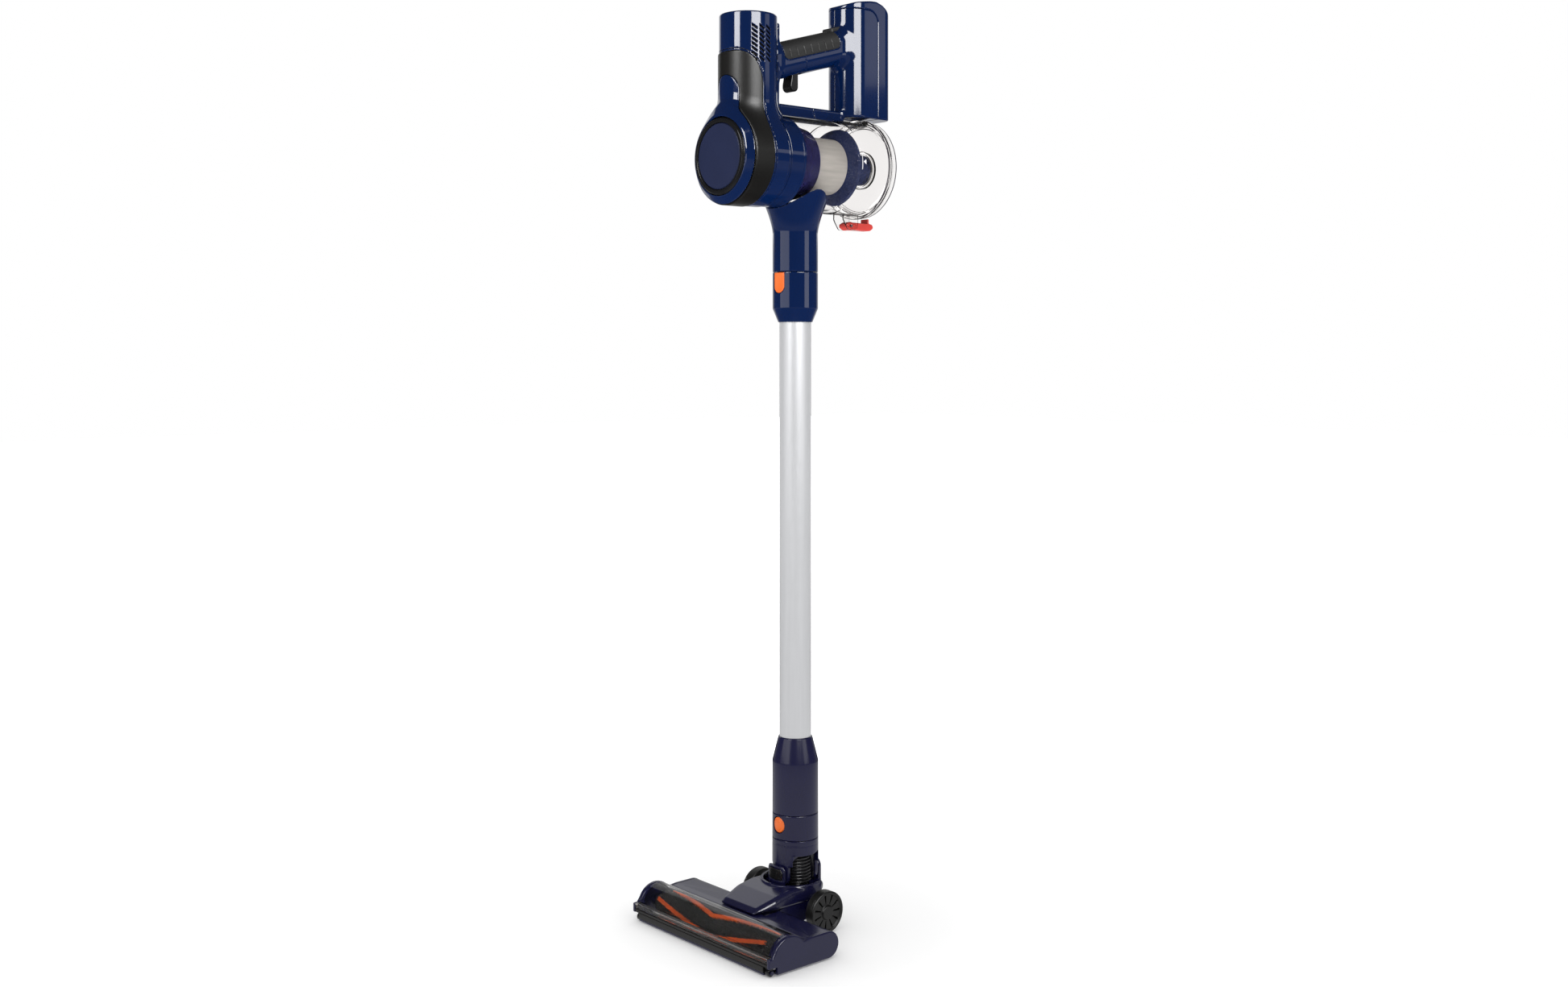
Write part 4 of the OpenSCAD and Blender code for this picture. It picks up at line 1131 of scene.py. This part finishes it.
def make_head():
    for name, x, node in (("left", -120, ""), ("right", 120, "end_caps")):
        moulded(f"end_cap_{name}", end_cap_field, (x - 6, -149, 0), (x + 6, -44, 41), 0.8, HEAD_NAVY, node,
                "head")
    moulded("deck_shell", deck_field, (-122, -96, 1), (122, -44, 33), 0.9, HEAD_NAVY, "head_deck", "head")
    moulded("cover_shell", cover_field, (-39, -91, 31), (39, 13, 53), 0.8, HEAD_NAVY, "neck_cover", "head")
    moulded("window_lip", lip_field, (-122, -148, 14), (122, -139, 22), 0.7, SMOKED, "", "head")
    moulded("bumper_strip", strip_field, (-122, -148, 3), (122, -141, 15), 0.7, BLACK, "front_strip", "head")
    make_window()
    make_brush()
    for side, name in ((-1, "left"), (1, "right")):
        x, wheel = side * WHEEL[0], f"wheel_{name}"
        moulded(f"{wheel}_shell", wheel_field(side), (x - 7, WHEEL[1] - WHEEL_R - 1, -1),
                (x + 7, WHEEL[1] + WHEEL_R + 1, 2 * WHEEL_R + 1), 0.7, WHEEL_RUBBER, wheel, wheel)
    centre = (0, -141, 4.5)
    for side, name in ((-1, "left"), (1, "right")):
        lathed(f"roller_{name}", "X", [
            (1.6, side * 114.6), (4.5, side * 114.6, 0.6), (4.5, side * 120.4, 0.6), (1.6, side * 120.4)],
            DARK, "rollers" if side > 0 else "", "rollers", centre=centre, turns=48)
        lathed(f"roller_cap_{name}", "X", [
            (0, side * 123.0), (2.3, side * 123.0, 0.6), (2.3, side * 120.9), (1.55, side * 120.9),
            (1.55, side * 122.6), (0, side * 122.6)], HEAD_NAVY, "", "head", centre=centre, turns=32,
            closed=False)


make_hand_front()
make_handle()
make_bin()
make_wand()
make_elbow()
make_head()


# ---------------------------------------------------------------- camera, lights and floor

CAMERA_AZIMUTH = math.radians(48.57)
CAMERA_DISTANCE = 1.9425
CAMERA_HEIGHT = 0.6724


def around(azimuth, distance):
    """A place on the floor at an angle from the head's front."""
    return distance * math.sin(azimuth), -distance * math.cos(azimuth)


def make_camera():
    data = bpy.data.cameras.new("camera")
    data.sensor_width, data.lens = 36.0, 37.35
    data.shift_x, data.shift_y = -0.0072, -0.0881
    camera = placed("camera", data, (*around(CAMERA_AZIMUTH, CAMERA_DISTANCE), CAMERA_HEIGHT))
    camera.rotation_euler = (math.radians(90), 0, CAMERA_AZIMUTH)
    bpy.context.scene.camera = camera


def panel_light(name, azimuth, width, low, high, radiance):
    """An upright panel that only shows in reflections; azimuth in degrees from the head's front."""
    distance, tall = 2.5, high - low
    data = bpy.data.lights.new(name, "AREA")
    data.shape = "RECTANGLE"
    data.size, data.size_y = width, tall
    data.energy = radiance * math.pi * width * tall
    angle = math.radians(azimuth)
    light = placed(name, data, (*around(angle, distance), (low + high) / 2))
    light.rotation_euler = (math.radians(90), 0, angle)
    light.visible_camera = light.visible_diffuse = light.visible_transmission = False


def after_reflection(tree):
    """1 for a ray that has been reflected by a glossy surface."""
    depth = shader(tree, "LightPath", "Glossy Depth", {})
    return shader(tree, "Math", "Value", {0: depth, 1: 0.5}, operation="GREATER_THAN")


def make_world():
    world = bpy.data.worlds.new("studio")
    bpy.context.scene.world = world
    world.use_nodes = True
    tree = world.node_tree
    level = spread(tree, after_reflection(tree), 1.0, 0.06, 0, 1)
    fill(tree, tree.nodes["Background"], {"Color": (1, 1, 1, 1), "Strength": level})


def make_floor():
    """A white floor that glows more the further it is, and that reflections see at levels of their own."""
    mat, tree, bsdf = new_material("floor")
    coords = shader(tree, "TexCoord", "Object", {})
    reach = shader(tree, "VectorMath", "Value", {0: coords}, operation="LENGTH")
    glow = spread(tree, reach, 0.10, 1.0, 0.15, 0.75, interpolation_type="SMOOTHSTEP")
    fill(tree, bsdf, {
        "Base Color": (0.93, 0.93, 0.93, 1), "Roughness": 0.9, "Specular IOR Level": 0.1,
        "Emission Color": (1, 1, 1, 1), "Emission Strength": glow})
    far = spread(tree, shader(tree, "LightPath", "Ray Length", {}), 0, 1, 0, 4)
    stops = [(0.0, 0.6), (0.19, 0.5), (0.27, 0.08), (0.5, 0.08), (0.75, 0.22)]
    mirrored_level = ramp(tree, far, [(place, (level,) * 3) for place, level in stops])
    glossy = shader(tree, "Emission", "Emission", {"Color": mirrored_level})
    lit = bsdf.outputs["BSDF"]
    mixed = shader(tree, "MixShader", "Shader", {0: after_reflection(tree), 1: lit, 2: glossy})
    tree.links.new(mixed, tree.nodes["Material Output"].inputs["Surface"])
    half = 12.0
    mesh = bpy.data.meshes.new("floor")
    corners = [(-half, -half, 0), (half, -half, 0), (half, half, 0), (-half, half, 0)]
    mesh.from_pydata(corners, [], [(0, 1, 2, 3)])
    mesh.materials.append(mat)
    placed("floor", mesh, (0, 0, -0.0002))


make_camera()
make_world()
make_floor()
panel_light("key_panel", 6, 0.97, 1.45, 3.08, 13.0)
panel_light("side_panel", 80, 1.62, 1.35, 3.05, 13.0)
panel_light("left_fill", -8, 2.4, 0.60, 1.12, 1.3)
panel_light("right_fill", 109, 1.1, 0.60, 1.05, 1.6)
panel_light("battery_fill", 130, 0.95, 1.40, 1.70, 0.85)
panel_light("backdrop", 229, 4.5, 1.0, 2.6, 0.9)
panel_light("low_backdrop", 229, 4.5, 0.0, 1.0, 0.4)
bpy.context.scene.view_settings.view_transform = "Standard"
